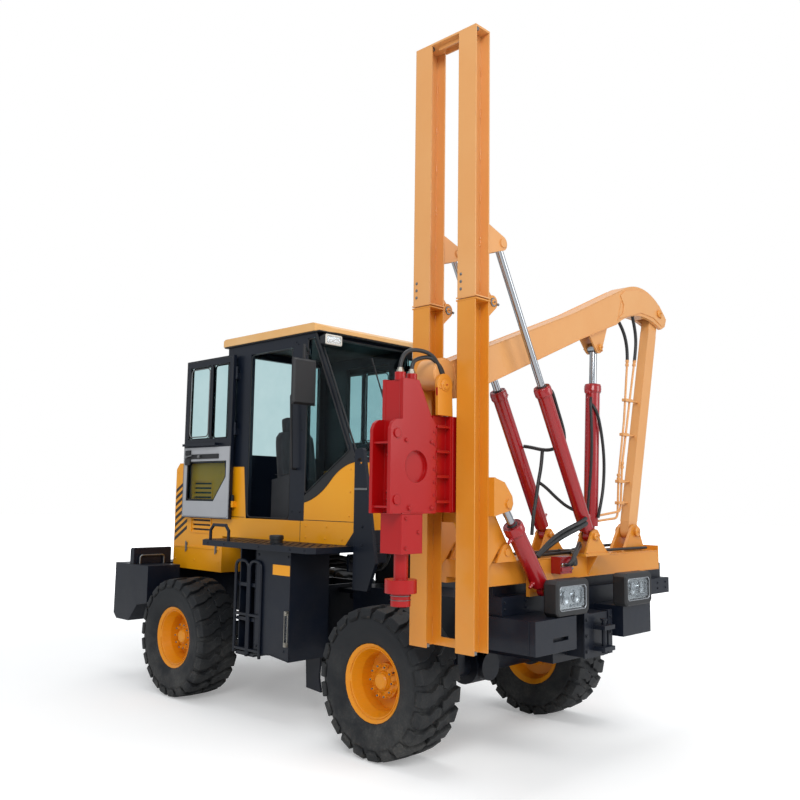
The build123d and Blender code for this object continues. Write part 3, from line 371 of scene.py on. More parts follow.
BLACK_TRIM = plastic("black trim", "0A0C10", 0.5, dust=0.03)
HOSE_BLACK = plastic("hose rubber", "0F1012", 0.42, dust=0.1)
DARK_CAB = plastic("cab lining", "24262A", 0.6)
TYRE = tyre_rubber()
GLASS = tinted_glass()
LENS = clear_lens()
CLOTH = seat_cloth()
MIRROR = bare_metal("lamp reflector", "D8DBDE", 0.08, dust=0.0)

NODE_MATERIALS = {
    BODY_YELLOW: ["hood", "cab_skirt"],
    ROOF_CREAM: ["cab_roof"],
    ARM_ORANGE: ["deck", "mast_lower"],
    ARM_PALE: ["post", "boom", "mast_upper"],
    FRAME_NAVY: ["rear_frame", "rear_axle", "counterweight", "rear_fenders", "engine_block", "side_platforms",
                 "guard_posts", "radiator_guard", "grab_rails", "cab_frame", "door_right", "door_left",
                 "front_frame", "front_axle", "slide_base"],
    CYLINDER_RED: ["valve_block", "lift_barrel", "fold_barrels", "tilt_barrel"],
    HAMMER_RED: ["carriage", "hammer"],
    CHROME: ["lift_rod", "fold_rods", "tilt_rod"],
    BLACK_TRIM: ["mirrors", "work_lamps", "headlights"],
    DARK_CAB: ["controls"],
    GLASS: ["cab_glass", "door_right_glass", "door_left_glass"],
    CLOTH: ["seat"],
    TYRE: ["tyre_front_right", "tyre_front_left", "tyre_rear_right", "tyre_rear_left"],
    RIM_ORANGE: ["rim_front_right", "rim_front_left", "rim_rear_right", "rim_rear_left"],
}


def dress_nodes():
    """Gives every node of the part its finish."""
    for material, names in NODE_MATERIALS.items():
        for name in names:
            mesh = NODES[name].data
            mesh.materials.clear()
            mesh.materials.append(material)
            for face in mesh.polygons:
                face.material_index = 0


# ---------------------------------------------------------------- light, floor and camera

def studio():
    """A pale floor under soft daylight; camera() stands the camera at a standing person's height."""
    world = bpy.data.worlds.new("soft sky")
    bpy.context.scene.world = world
    world.use_nodes = True
    tree = world.node_tree
    sky = tree.nodes["Background"]
    sky.inputs["Color"].default_value = (0.93, 0.96, 1.0, 1)
    sky.inputs["Strength"].default_value = 0.62
    white = tree.nodes.new("ShaderNodeBackground")
    white.inputs["Color"].default_value = (1, 1, 1, 1)
    rays = tree.nodes.new("ShaderNodeLightPath")
    seen = maths(tree, "MAXIMUM", rays.outputs["Is Camera Ray"], rays.outputs["Is Transmission Ray"])
    mix = tree.nodes.new("ShaderNodeMixShader")
    join(tree, seen, mix.inputs[0])
    join(tree, sky.outputs[0], mix.inputs[1])
    join(tree, white.outputs[0], mix.inputs[2])
    join(tree, mix.outputs[0], tree.nodes["World Output"].inputs["Surface"])

    floor_mesh = bpy.data.meshes.new("yard_floor")
    reach = 60
    floor_mesh.from_pydata([(-reach, -reach, 0), (reach, -reach, 0), (reach, reach, 0), (-reach, reach, 0)],
                           [],
                           [(0, 1, 2, 3)])
    floor = bpy.data.objects.new("yard_floor", floor_mesh)
    bpy.context.scene.collection.objects.link(floor)
    material, tree, shader = new_material("pale floor")
    where = tree.nodes.new("ShaderNodeTexCoord")
    tone = noise(tree, where.outputs["Object"], 0.8)
    join(tree, blend_colours(tree, tone, rgb("E9E9E8"), rgb("EFEFEE")), shader.inputs["Base Color"])
    shader.inputs["Roughness"].default_value = 0.9
    shader.inputs["Specular IOR Level"].default_value = 0.1
    # Painted light: the floor glows to camera rays, dimly near the machine and brighter further out, so it
    # fades into the white backdrop.
    rays = tree.nodes.new("ShaderNodeLightPath")
    place = tree.nodes.new("ShaderNodeVectorMath")
    place.operation = "LENGTH"
    join(tree, where.outputs["Object"], place.inputs[0])
    far = maths(tree, "ADD", maths(tree, "MULTIPLY", ramp(tree, place.outputs["Value"], 4.0, 13.0), 0.9),
                0.26)
    glow = maths(tree, "MULTIPLY", rays.outputs["Is Camera Ray"], far)
    shader.inputs["Emission Color"].default_value = (1, 1, 1, 1)
    join(tree, glow, shader.inputs["Emission Strength"])
    floor_mesh.materials.append(material)

    for name, place, aim, power, size in (
            ("key softbox", (7.5, -9.0, 8.5), (-1.0, -0.5, 1.6), 700, 5.0),
            ("front fill", (9.5, 4.0, 5.0), (0.0, 0.0, 1.6), 250, 5.0),
            ("top softbox", (-1.0, 0.5, 10.0), (-1.0, 0.0, 0.0), 330, 7.0)):
        lamp = bpy.data.lights.new(name, "AREA")
        lamp.energy, lamp.size = power, size
        holder = bpy.data.objects.new(name, lamp)
        holder.location = ORIGIN + Vector(place)
        holder.rotation_euler = (Vector(aim) - Vector(place)).to_track_quat("-Z", "Y").to_euler()
        bpy.context.scene.collection.objects.link(holder)


def camera():
    """Stands off the front right corner, level with the cab's sill."""
    lens = bpy.data.cameras.new("standing view")
    lens.lens, lens.sensor_width = 38.47, 36.0
    lens.clip_end = 200
    holder = bpy.data.objects.new("standing view", lens)
    yaw, pitch, roll = radians(134.08), radians(6.395), radians(0.799)
    ahead = Vector((cos(pitch) * cos(yaw), cos(pitch) * sin(yaw), sin(pitch)))
    right = ahead.cross(Vector((0, 0, 1))).normalized()
    up = right.cross(ahead)
    right, up = cos(roll) * right + sin(roll) * up, cos(roll) * up - sin(roll) * right
    turn = Matrix((right, up, -ahead)).transposed().to_4x4()
    holder.matrix_world = Matrix.Translation(ORIGIN + Vector((4.508, -5.539, 1.873))) @ turn
    bpy.context.scene.collection.objects.link(holder)
    bpy.context.scene.camera = holder
    bpy.context.scene.view_settings.view_transform = "Standard"


# ---------------------------------------------------------------- shapes

class Piece:
    """Gathers the shapes of one piece, then turns them into a mesh that rides on a body."""

    def __init__(self):
        self.bm = bmesh.new()

    def faces(self, rings, closed=True, caps=True):
        """Skins a list of rings of points, each ring closed on itself."""
        rows = [[self.bm.verts.new(p) for p in ring] for ring in rings]
        n = len(rows[0])
        last = n if closed else n - 1
        for a, b in zip(rows, rows[1:]):
            for k in range(last):
                self.bm.faces.new((a[k], a[(k + 1) % n], b[(k + 1) % n], b[k]))
        if caps:
            self.bm.faces.new(rows[0][::-1])
            self.bm.faces.new(rows[-1])

    def box(self, x0, x1, y0, y1, z0, z1):
        low = [(x0, y0, z0), (x1, y0, z0), (x1, y1, z0), (x0, y1, z0)]
        self.faces([low, [(x, y, z1) for x, y, _ in low]])

    def slab(self, outline, axis, a, b):
        """A flat plate from a to b along axis; the outline lies in the other two axes."""
        def at(p, q, level):
            return {"x": (level, p, q), "y": (p, level, q), "z": (p, q, level)}[axis]
        self.faces([[at(p, q, level) for p, q in outline] for level in (a, b)])

    def turned(self, start, end, profile, sides=24):
        """Revolves (distance, radius) pairs about the line from start to end."""
        start, along = Vector(start), (Vector(end) - Vector(start)).normalized()
        across = along.orthogonal().normalized()
        third = along.cross(across)
        rings = []
        for distance, radius in profile:
            middle = start + along * distance
            rings.append([middle + (across * cos(2 * pi * k / sides)
                                    + third * sin(2 * pi * k / sides)) * radius
                          for k in range(sides)])
        self.faces(rings)

    def rod(self, start, end, radius, sides=20):
        length = (Vector(end) - Vector(start)).length
        self.turned(start, end, [(0, radius), (length, radius)], sides)

    def bolt(self, place, normal, size=0.012, proud=0.009):
        """A washer and a hexagon head with a domed top, standing on place."""
        place, normal = Vector(place), Vector(normal).normalized()
        top = place + normal
        self.turned(place, top, [(0, size * 1.15), (0.0022, size * 1.15)], 16)
        self.turned(place, top, [(0.002, size * 0.9), (proud * 0.8, size * 0.9), (proud, size * 0.74)], 6)

    def nipple(self, place, normal):
        """A grease nipple."""
        self.turned(place, Vector(place) + Vector(normal),
                    [(0, 0.006), (0.006, 0.006), (0.007, 0.0035), (0.012, 0.0035), (0.014, 0.005),
                     (0.018, 0.003)], 10)

    def bead(self, points, radius=0.004):
        """A weld bead: a lumpy rounded strip along the points."""
        points = [Vector(p) for p in points]
        for a, b in zip(points, points[1:]):
            steps = max(2, int((b - a).length / 0.008))
            self.turned(a, b, [((b - a).length * k / steps, radius * (1.0 if k % 2 else 0.72))
                               for k in range(steps + 1)], 6)

    def done(self, name, material, body, bevel=0.0, smooth=False, replaces=(), slot=None):
        name = name.replace(" ", "_")
        bmesh.ops.recalc_face_normals(self.bm, faces=self.bm.faces)
        mesh = bpy.data.meshes.new(name)
        self.bm.to_mesh(mesh)
        self.bm.free()
        mesh.materials.append(material)
        if smooth:
            for face in mesh.polygons:
                face.use_smooth = True
        obj = bpy.data.objects.new(name, mesh)
        obj.location = ORIGIN
        bpy.context.scene.collection.objects.link(obj)
        if smooth:
            mesh.set_sharp_from_angle(angle=radians(38))
        if bevel:
            rounding = obj.modifiers.new("rounded edges", "BEVEL")
            rounding.width, rounding.segments, rounding.limit_method = bevel, 2, "ANGLE"
            rounding.angle_limit = radians(40)
            rounding.harden_normals = True
        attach(obj, body)
        if replaces:
            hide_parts(*replaces)
        return obj


def pipe(name, points, radius, material, body, smooth_route=False):
    """A tube along points: bent steel pipe, or a hose where smooth_route is set."""
    name = name.replace(" ", "_")
    curve = bpy.data.curves.new(name, "CURVE")
    curve.dimensions = "3D"
    curve.bevel_depth, curve.bevel_resolution = radius, 4
    curve.use_fill_caps = True
    if smooth_route:
        line = curve.splines.new("NURBS")
        line.points.add(len(points) - 1)
        for place, point in zip(line.points, points):
            place.co = (*point, 1)
        line.order_u, line.use_endpoint_u, line.resolution_u = 3, True, 8
    else:
        line = curve.splines.new("POLY")
        line.points.add(len(points) - 1)
        for place, point in zip(line.points, points):
            place.co = (*point, 1)
    curve.materials.append(material)
    obj = bpy.data.objects.new(name, curve)
    obj.location = ORIGIN
    bpy.context.scene.collection.objects.link(obj)
    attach(obj, body)
    return obj


def bent(points, radius, steps=6):
    """The points of a bent pipe: straight runs with each corner turned on the radius."""
    points = [Vector(p) for p in points]
    route = [points[0]]
    for before, corner, after in zip(points, points[1:], points[2:]):
        back, on = (before - corner).normalized(), (after - corner).normalized()
        half = (pi - back.angle(on)) / 2
        reach = radius * abs(sin(half) / cos(half))
        reach = min(reach, 0.48 * (before - corner).length, 0.48 * (after - corner).length)
        a, b = corner + back * reach, corner + on * reach
        for k in range(steps + 1):
            t = k / steps
            route.append(a.lerp(corner, t).lerp(corner.lerp(b, t), t))
    route.append(points[-1])
    return [tuple(p) for p in route]


# ---------------------------------------------------------------- wheels

LUGS = 22
LUG_PITCH = 2 * pi / LUGS
# one lug from the middle of the tread out and over the shoulder:
# across, crown radius and base radius in metres, then swing along the tread and half width in pitches
LUG_STATIONS = [
    (0.002, 0.5375, 0.508, -0.10, 0.20),
    (0.045, 0.5375, 0.508, -0.10, 0.27),
    (0.085, 0.5365, 0.507, 0.12, 0.26),
    (0.120, 0.5355, 0.505, 0.20, 0.28),
    (0.160, 0.5330, 0.503, 0.20, 0.33),
    (0.190, 0.5290, 0.495, 0.20, 0.34),
    (0.2035, 0.5080, 0.475, 0.20, 0.33),
    (0.2045, 0.4700, 0.452, 0.20, 0.30),
]
# half of the carcass from the bead over the sidewall to the middle of the tread: across, radius
CARCASS = [(0.150, 0.2545), (0.158, 0.272), (0.176, 0.284), (0.178, 0.296), (0.190, 0.318), (0.1985, 0.352),
           (0.2025, 0.388), (0.2028, 0.424), (0.2040, 0.430), (0.2040, 0.438), (0.2015, 0.446),
           (0.197, 0.468),
           (0.186, 0.492), (0.166, 0.5025), (0.120, 0.5065), (0.060, 0.508), (0.0, 0.5085)]


def tyre(corner, x, side, body):
    """Tyre with traction lugs, each staggered half a pitch against the other side's."""
    piece = Piece()
    y_mid = side * WHEEL_Y

    def at(across, radius, angle):
        return (x + radius * cos(angle), y_mid + across, TYRE_R + radius * sin(angle))

    section = [(-a, r) for a, r in CARCASS] + [(a, r) for a, r in CARCASS[-2::-1]]
    section += [(0.14, 0.256), (-0.14, 0.256)]
    steps = 132
    rows = [[piece.bm.verts.new(at(a, r, 2 * pi * k / steps)) for a, r in section] for k in range(steps)]
    n = len(section)
    for k in range(steps):
        a, b = rows[k], rows[(k + 1) % steps]
        for m in range(n):
            piece.bm.faces.new((a[m], a[(m + 1) % n], b[(m + 1) % n], b[m]))
    for half, shift in ((-1, 0.0), (1, 0.5)):
        for k in range(LUGS):
            middle = LUG_PITCH * (k + shift)
            rings = []
            for across, crown, base, swing, width in LUG_STATIONS:
                centre = middle + side * half * -swing * LUG_PITCH
                w = width * LUG_PITCH
                rings.append([at(half * across, base, centre - w * 1.16),
                              at(half * across, crown, centre - w),
                              at(half * across, crown, centre + w),
                              at(half * across, base, centre + w * 1.16)])
            piece.faces(rings)
    return piece.done("tyre with lugs " + corner, TYRE, body, bevel=0.004, smooth=True,
                      replaces=["tyre_" + corner], slot="tyre_black")


def wheel_trim(corner, x, side, body):
    """Wheel nuts, hub cap, split-ring gap and valve."""
    y = side * WHEEL_Y
    out = Vector((0, side, 0))
    nuts, studs = Piece(), Piece()
    for k in range(10):
        a = radians(36 * k)
        foot = Vector((x + 0.108 * cos(a), y + side * 0.052, TYRE_R + 0.108 * sin(a)))
        nuts.turned(foot, foot + out, [(0, 0.0165), (0.004, 0.0165), (0.004, 0.014), (0.02, 0.014),
                                       (0.023, 0.011)], 6)
        studs.turned(foot, foot + out, [(0.02, 0.007), (0.032, 0.0065), (0.034, 0.005)], 10)
    centre = Vector((x, y + side * 0.066, TYRE_R))
    nuts.turned(centre, centre + out, [(0, 0.062), (0.012, 0.06), (0.022, 0.05), (0.026, 0.028)], 28)
    for k in range(6):
        a = radians(60 * k + 30)
        foot = centre + Vector((0.05 * cos(a), side * 0.012, 0.05 * sin(a)))
        studs.bolt(foot, out, 0.007, 0.006)
    nuts.done("wheel nuts and hub cap " + corner, RIM_ORANGE, body, bevel=0.001, slot="rim_orange")
    studs.done("wheel studs " + corner, STEEL, body)
    lock = Piece()
    for start, stop in ((4, 170), (186, 352)):
        rings = []
        steps = 40
        for k in range(steps + 1):
            a = radians(start + (stop - start) * k / steps)
            rings.append([(x + r * cos(a), y + side * d, TYRE_R + r * sin(a))
                          for d, r in ((0.152, 0.2425), (0.158, 0.2425), (0.159, 0.2475), (0.152, 0.2485))])
        lock.faces(rings)
    lock.done("rim lock ring " + corner, RIM_ORANGE, body, bevel=0.001, smooth=True, slot="rim_orange")
    stem = Vector((x + 0.205 * cos(0.5), y + side * 0.075, TYRE_R + 0.205 * sin(0.5)))
    tip = stem + Vector((-0.02 * cos(0.5), side * 0.05, -0.02 * sin(0.5)))
    valve = Piece()
    valve.turned(stem, tip, [(0, 0.006), (0.012, 0.006), (0.014, 0.004), (0.04, 0.004), (0.041, 0.0052),
                             (0.054, 0.0052)],
                 12)
    valve.done("tyre valve " + corner, HOSE_BLACK, body)


def wheels():
    for corner, x, side in (("front_right", 0, -1), ("front_left", 0, 1), ("rear_right", -WHEELBASE, -1),
                            ("rear_left", -WHEELBASE, 1)):
        body = "wheel_" + corner
        tyre(corner, x, side, body)
        wheel_trim(corner, x, side, body)


# ---------------------------------------------------------------- hammer and carriage

HAMMER_X = (0.703, 0.883)
HAMMER_BACK = -1.456
PLATE_T = 0.025


def hammer_trim():
    """Bolts, welds and seams of the hammer's case."""
    x0, x1 = HAMMER_X
    bolts = Piece()
    for x, way in ((x1, 1), (x0, -1)):
        for y, z, size in ((-1.705, 1.800, 0.017), (-1.500, 1.800, 0.015), (-1.505, 2.215, 0.013),
                           (-1.735, 2.215, 0.014), (-1.730, 1.735, 0.011), (-1.730, 1.555, 0.011),
                           (-1.620, 1.650, 0.011)):
            bolts.bolt((x, y, z), (way, 0, 0), size, size * 0.8)
    for x in (0.752, 0.834):
        for z in (1.85, 1.90, 2.13):
            bolts.bolt((x, -1.768, z), (0, -1, 0), 0.011, 0.009)
    for x, way in ((x1, 1), (x0, -1)):
        for z in (1.80, 1.88, 1.96, 2.04, 2.12, 2.20, 2.28):
            bolts.bolt((x, -1.478, z), (way, 0, 0), 0.008, 0.006)
        bolts.turned((x, -1.815, 2.255), (x + way, -1.815, 2.255),
                     [(0, 0.030), (0.008, 0.030), (0.010, 0.026)], 24)
        bolts.turned((x, -1.815, 1.850), (x + way, -1.815, 1.850),
                     [(0, 0.030), (0.008, 0.030), (0.010, 0.026)], 24)
    bolts.done("hammer case bolts", HAMMER_RED, "hammer_body", bevel=0.0008, slot="hammer_red")
    seams = Piece()
    for x, way in ((x1, 1), (x0, -1)):
        seams.bead([(x, HAMMER_BACK - 0.004, 1.79 + k * 0.09) for k in (0, 0.5)], 0.005)
        for k in range(7):
            z = 1.79 + 0.078 * k
            seams.bead([(x + way * 0.001, HAMMER_BACK - 0.002, z),
                        (x + way * 0.001, HAMMER_BACK - 0.002, z + 0.045)],
                       0.005)
        seams.bead([(x - way * PLATE_T, -1.768, 2.335), (x - way * PLATE_T, -1.768, 2.585)], 0.005)
    seams.bead([(x0, -1.7695, 1.766), (x1, -1.7695, 1.766)], 0.006)
    seams.bead([(x1 + 0.001, -1.766, 1.766), (x1 + 0.001, -1.582, 1.766)], 0.006)
    seams.done("hammer weld seams", HAMMER_RED, "hammer_body", smooth=True, slot="hammer_red")
    rings = Piece()
    for z, r, h in ((1.262, 0.066, 0.006), (1.236, 0.0655, 0.005)):
        rings.turned((MAST_X, -1.674, z), (MAST_X, -1.674, z + h),
                     [(0, r - 0.003), (0.001, r), (h - 0.001, r), (h, r - 0.003)], 48)
    rings.done("drive tip rings", STEEL, "hammer_body", smooth=True)
    ports = Piece()
    for y in (-1.745, -1.640):
        foot = Vector((MAST_X + 0.040, y, 2.640))
        ports.turned(foot, foot + Vector((0, 0, 1)),
                     [(0, 0.024), (0.016, 0.024), (0.017, 0.018), (0.03, 0.018)], 6)
    ports.done("hammer port unions", ZINC, "hammer_body", bevel=0.001)


def carriage_trim():
    """Weld seams and bolts of the carriage's cheeks, and grease nipples at its head pin."""
    half = 0.1025
    seams, bolts = Piece(), Piece()
    for side in (-1, 1):
        x = MAST_X + side * half
        seams.bead([(x, -1.3105, 1.775), (x, -1.3105, 2.385)], 0.006)
        for z in (1.830, 1.990, 2.150, 2.310):
            seams.bead([(x - side * 0.006, -1.4545, z + 0.0145), (x - side * 0.006, -1.337, z + 0.0145)],
                       0.004)
        for z in (1.80, 1.95, 2.10, 2.25, 2.36):
            bolts.bolt((x, -1.235, z), (side, 0, 0), 0.012)
        bolts.nipple((x + side * 0.006, -1.392, 2.59), (side, 0, 0))
    seams.done("carriage weld seams", HAMMER_RED, "hammer_body", smooth=True, slot="hammer_red")
    bolts.done("carriage bolts", HAMMER_RED, "hammer_body", bevel=0.0008, slot="hammer_red")


# ---------------------------------------------------------------- mast

def mast_trim():
    """Stitch welds of the two columns, and the caps of the fold hinge's pins."""
    h = BEAM / 2
    for name, body, z0, z1 in (("lower mast welds", "mast_body", 0.90, 3.15),
                               ("upper mast welds", "mast_top", 3.19, 5.02)):
        seams = Piece()
        for x in COLUMNS_X:
            for y in (MAST_Y - h + 0.012, MAST_Y + h - 0.012):
                for side in (-1, 1):
                    web = x + side * 0.006
                    z = z0 + 0.05
                    while z < z1 - 0.08:
                        seams.bead([(web, y, z), (web, y, z + 0.07)], 0.004)
                        z += WELD_PITCH
        seams.done(name, ARM_ORANGE, body, smooth=True, slot="arm_orange")
    pins = Piece()
    for x in COLUMNS_X:
        for side in (-1, 1):
            place = Vector((x + side * 0.048, -1.075, 3.170))
            out = Vector((side, 0, 0))
            pins.turned(place, place + out, [(0, 0.030), (0.006, 0.030), (0.008, 0.026)], 28)
            pins.bolt(place + Vector((side * 0.007, 0.045, -0.01)), out, 0.009)
            pins.nipple(place + Vector((side * 0.008, 0, 0)), out)
    pins.done("hinge pin caps", STEEL, "mast_body", bevel=0.0008)


# ---------------------------------------------------------------- cylinders

def ram_trim(name, body, foot, eye, x, barrel_r, rod_r, length, ports):
    """Gland, wiper seal and ports of one cylinder."""
    foot, eye = Vector((x, *foot)), Vector((x, *eye))
    along = (eye - foot).normalized()
    side = Vector((1, 0, 0)).cross(along).normalized()
    top = foot + along * length
    gland = Piece()
    gland.turned(top - along * 0.064, top,
                 [(0, barrel_r + 0.0072), (0.004, barrel_r + 0.0105), (0.050, barrel_r + 0.0105),
                  (0.056, barrel_r + 0.0072), (0.064, barrel_r + 0.003)], 36)
    for k in range(6):
        a = radians(60 * k)
        out = side * cos(a) + Vector((1, 0, 0)) * sin(a)
        spot = top - along * 0.036 + out * (barrel_r + 0.0105)
        gland.turned(spot, spot + out, [(0, 0.006), (0.0008, 0.006)], 12)
    gland.done(name + " gland", CYLINDER_RED, body, bevel=0.0008, smooth=True, slot="cylinder_red")
    wiper = Piece()
    wiper.turned(top - along * 0.004, top + along, [(0, rod_r + 0.012), (0.007, rod_r + 0.010),
                                                    (0.012, rod_r + 0.001)], 32)
    wiper.done(name + " wiper seal", BLACK_TRIM, body, smooth=True)
    fittings = Piece()
    for distance, way in ports:
        spot = foot + along * distance + side * way * (barrel_r - 0.004)
        out = side * way
        fittings.turned(spot, spot + out, [(0, 0.019), (0.016, 0.019), (0.018, 0.016)], 20)
        fittings.turned(spot + out * 0.017, spot + out,
                        [(0, 0.014), (0.018, 0.014), (0.02, 0.011), (0.034, 0.0105)], 6)
    fittings.done(name + " ports", CYLINDER_RED, body, bevel=0.0006, slot="cylinder_red")


# body, foot and rod eye as (y, z), x, barrel radius, rod radius, barrel length, ports as (distance, side)
FOLD_RAM = ("fold_barrel_body", (0.160, 1.590), (-0.970, 3.600))
FOLD_SIZES = (0.054, 0.027, 1.235, ((1.160, -1), (0.120, -1)))
RAMS = {
    "lift": ("lift_barrel_body", (0.515, 1.580), (0.590, 3.110), MAST_X, 0.058, 0.030, 1.225,
             ((1.150, 1), (0.120, 1))),
    "tilt": ("tilt_barrel_body", (-0.542, 1.240), (-0.998, 1.830), 1.060, 0.060, 0.027, 0.570,
             ((0.500, 1), (0.115, 1))),
    "fold right": (*FOLD_RAM, COLUMNS_X[1], *FOLD_SIZES),
    "fold left": (*FOLD_RAM, COLUMNS_X[0], *FOLD_SIZES),
}


def rams():
    for name, facts in RAMS.items():
        ram_trim(name, *facts)


# ---------------------------------------------------------------- post, boom and deck

OIL_LINES = {"front": [(1.111, 3.039), (1.045, 2.546), (0.938, 2.048), (0.912, 1.715), (0.600, 1.692)],
             "rear": [(1.234, 3.054), (1.154, 2.754), (1.000, 2.150), (0.962, 1.770), (0.600, 1.735)]}


def post_pipes():
    """Two rigid oil lines inboard of the post, their clamps, and the hoses that go on to the boom."""
    nuts, clamps = Piece(), Piece()
    x = MAST_X + 0.017
    for name, route in OIL_LINES.items():
        pipe("post oil line " + name, bent([(x, *p) for p in route], 0.06), 0.0095, ARM_PALE, "post_body")
        for k in (0, 2):
            a, b = Vector((x, *route[k])), Vector((x, *route[k + 1]))
            step = (a - b).normalized()
            nuts.turned(a - step * 0.02, a, [(0, 0.016), (0.022, 0.016), (0.023, 0.012), (0.034, 0.012),
                                             (0.035, 0.016),
                                             (0.055, 0.016)], 6)
    for z, near, far in ((2.72, 1.068, 1.145), (2.42, 1.018, 1.068), (2.02, 0.935, 0.988),
                         (1.84, 0.925, 0.968)):
        face = 1.108 + 0.2395 * (z - 1.6) - 0.043
        clamps.box(x - 0.020, x + 0.020, near - 0.022, far + 0.024, z - 0.013, z + 0.013)
        clamps.box(MAST_X - 0.012, MAST_X + 0.012, far + 0.016, face, z - 0.005, z + 0.005)
    clamps.done("oil line clamps", ARM_PALE, "post_body", bevel=0.003, slot="arm_orange")
    nuts.done("oil line unions", ARM_PALE, "post_body", bevel=0.0006, slot="arm_orange")
    for name, route in (("front", ((1.115, 3.065), (1.120, 3.150), (1.090, 3.265), (1.025, 3.355),
                                   (0.972, 3.397))),
                        ("rear", ((1.240, 3.080), (1.262, 3.170), (1.275, 3.280), (1.250, 3.400),
                                  (1.213, 3.484)))):
        pipe("elbow hose " + name, [(x, *p) for p in route], 0.014, HOSE_BLACK, "post_body",
             smooth_route=True)


def pin_caps():
    """Pin heads with keeper plates at the arm's pivots."""
    for name, body, material, spots in (
            ("deck pins", "deck_body", ARM_ORANGE,
             ((MAST_X, 1.108, 1.600, 0.088, 0.040), (MAST_X, 0.515, 1.580, 0.062, 0.026),
              (0.992, 0.160, 1.590, 0.062, 0.026), (0.594, 0.160, 1.590, 0.062, 0.026))),
            ("elbow pins", "boom_body", ARM_ORANGE, ((MAST_X, 1.575, 3.550, 0.088, 0.034),
                                                     (MAST_X, 0.590, 3.110, 0.064, 0.026)))):
        caps = Piece()
        for x, y, z, half, r in spots:
            for side in (-1, 1):
                foot, out = Vector((x + side * half, y, z)), Vector((side, 0, 0))
                caps.turned(foot, foot + out, [(0, r), (0.009, r), (0.012, r - 0.004)], 32)
                caps.bolt(foot + Vector((0, r * 0.9, -r * 0.9)), out, 0.009)
                caps.nipple(foot + out * 0.012, out)
        caps.done(name, material, body, bevel=0.001, smooth=True, slot="arm_orange")


# ---------------------------------------------------------------- cab, doors and hood

def seal(name, outline, axis, level, body, radius=0.006, material=None, turn=0.03):
    """A rubber strip round a pane: outline lies in the plane of constant axis at level."""
    def at(p, q):
        return {"x": (level, p, q), "y": (p, level, q), "z": (p, q, level)}[axis]
    points = [Vector(at(p, q)) for p, q in outline]
    start = points[0].lerp(points[1], 0.5)
    route = bent([start, *points[1:], points[0], start], turn)
    return pipe(name, route, radius, material or BLACK_TRIM, body)


def sloped(s, across, proud=0.0):
    """A place on the windscreen's plane: s runs from the roof (0) to the skirt (1)."""
    return Vector((-1.290 + 0.560 * s + proud * 0.903, across, 3.330 - 1.180 * s + proud * 0.429))


S_CURVE = [(-1.390, 1.800), (-1.330, 1.818), (-1.265, 1.842), (-1.200, 1.872), (-1.142, 1.908),
           (-1.088, 1.951),
           (-1.040, 1.995), (-0.995, 2.036), (-0.945, 2.073), (-0.895, 2.100), (-0.840, 2.124),
           (-0.785, 2.140),
           (-0.730, 2.150)]


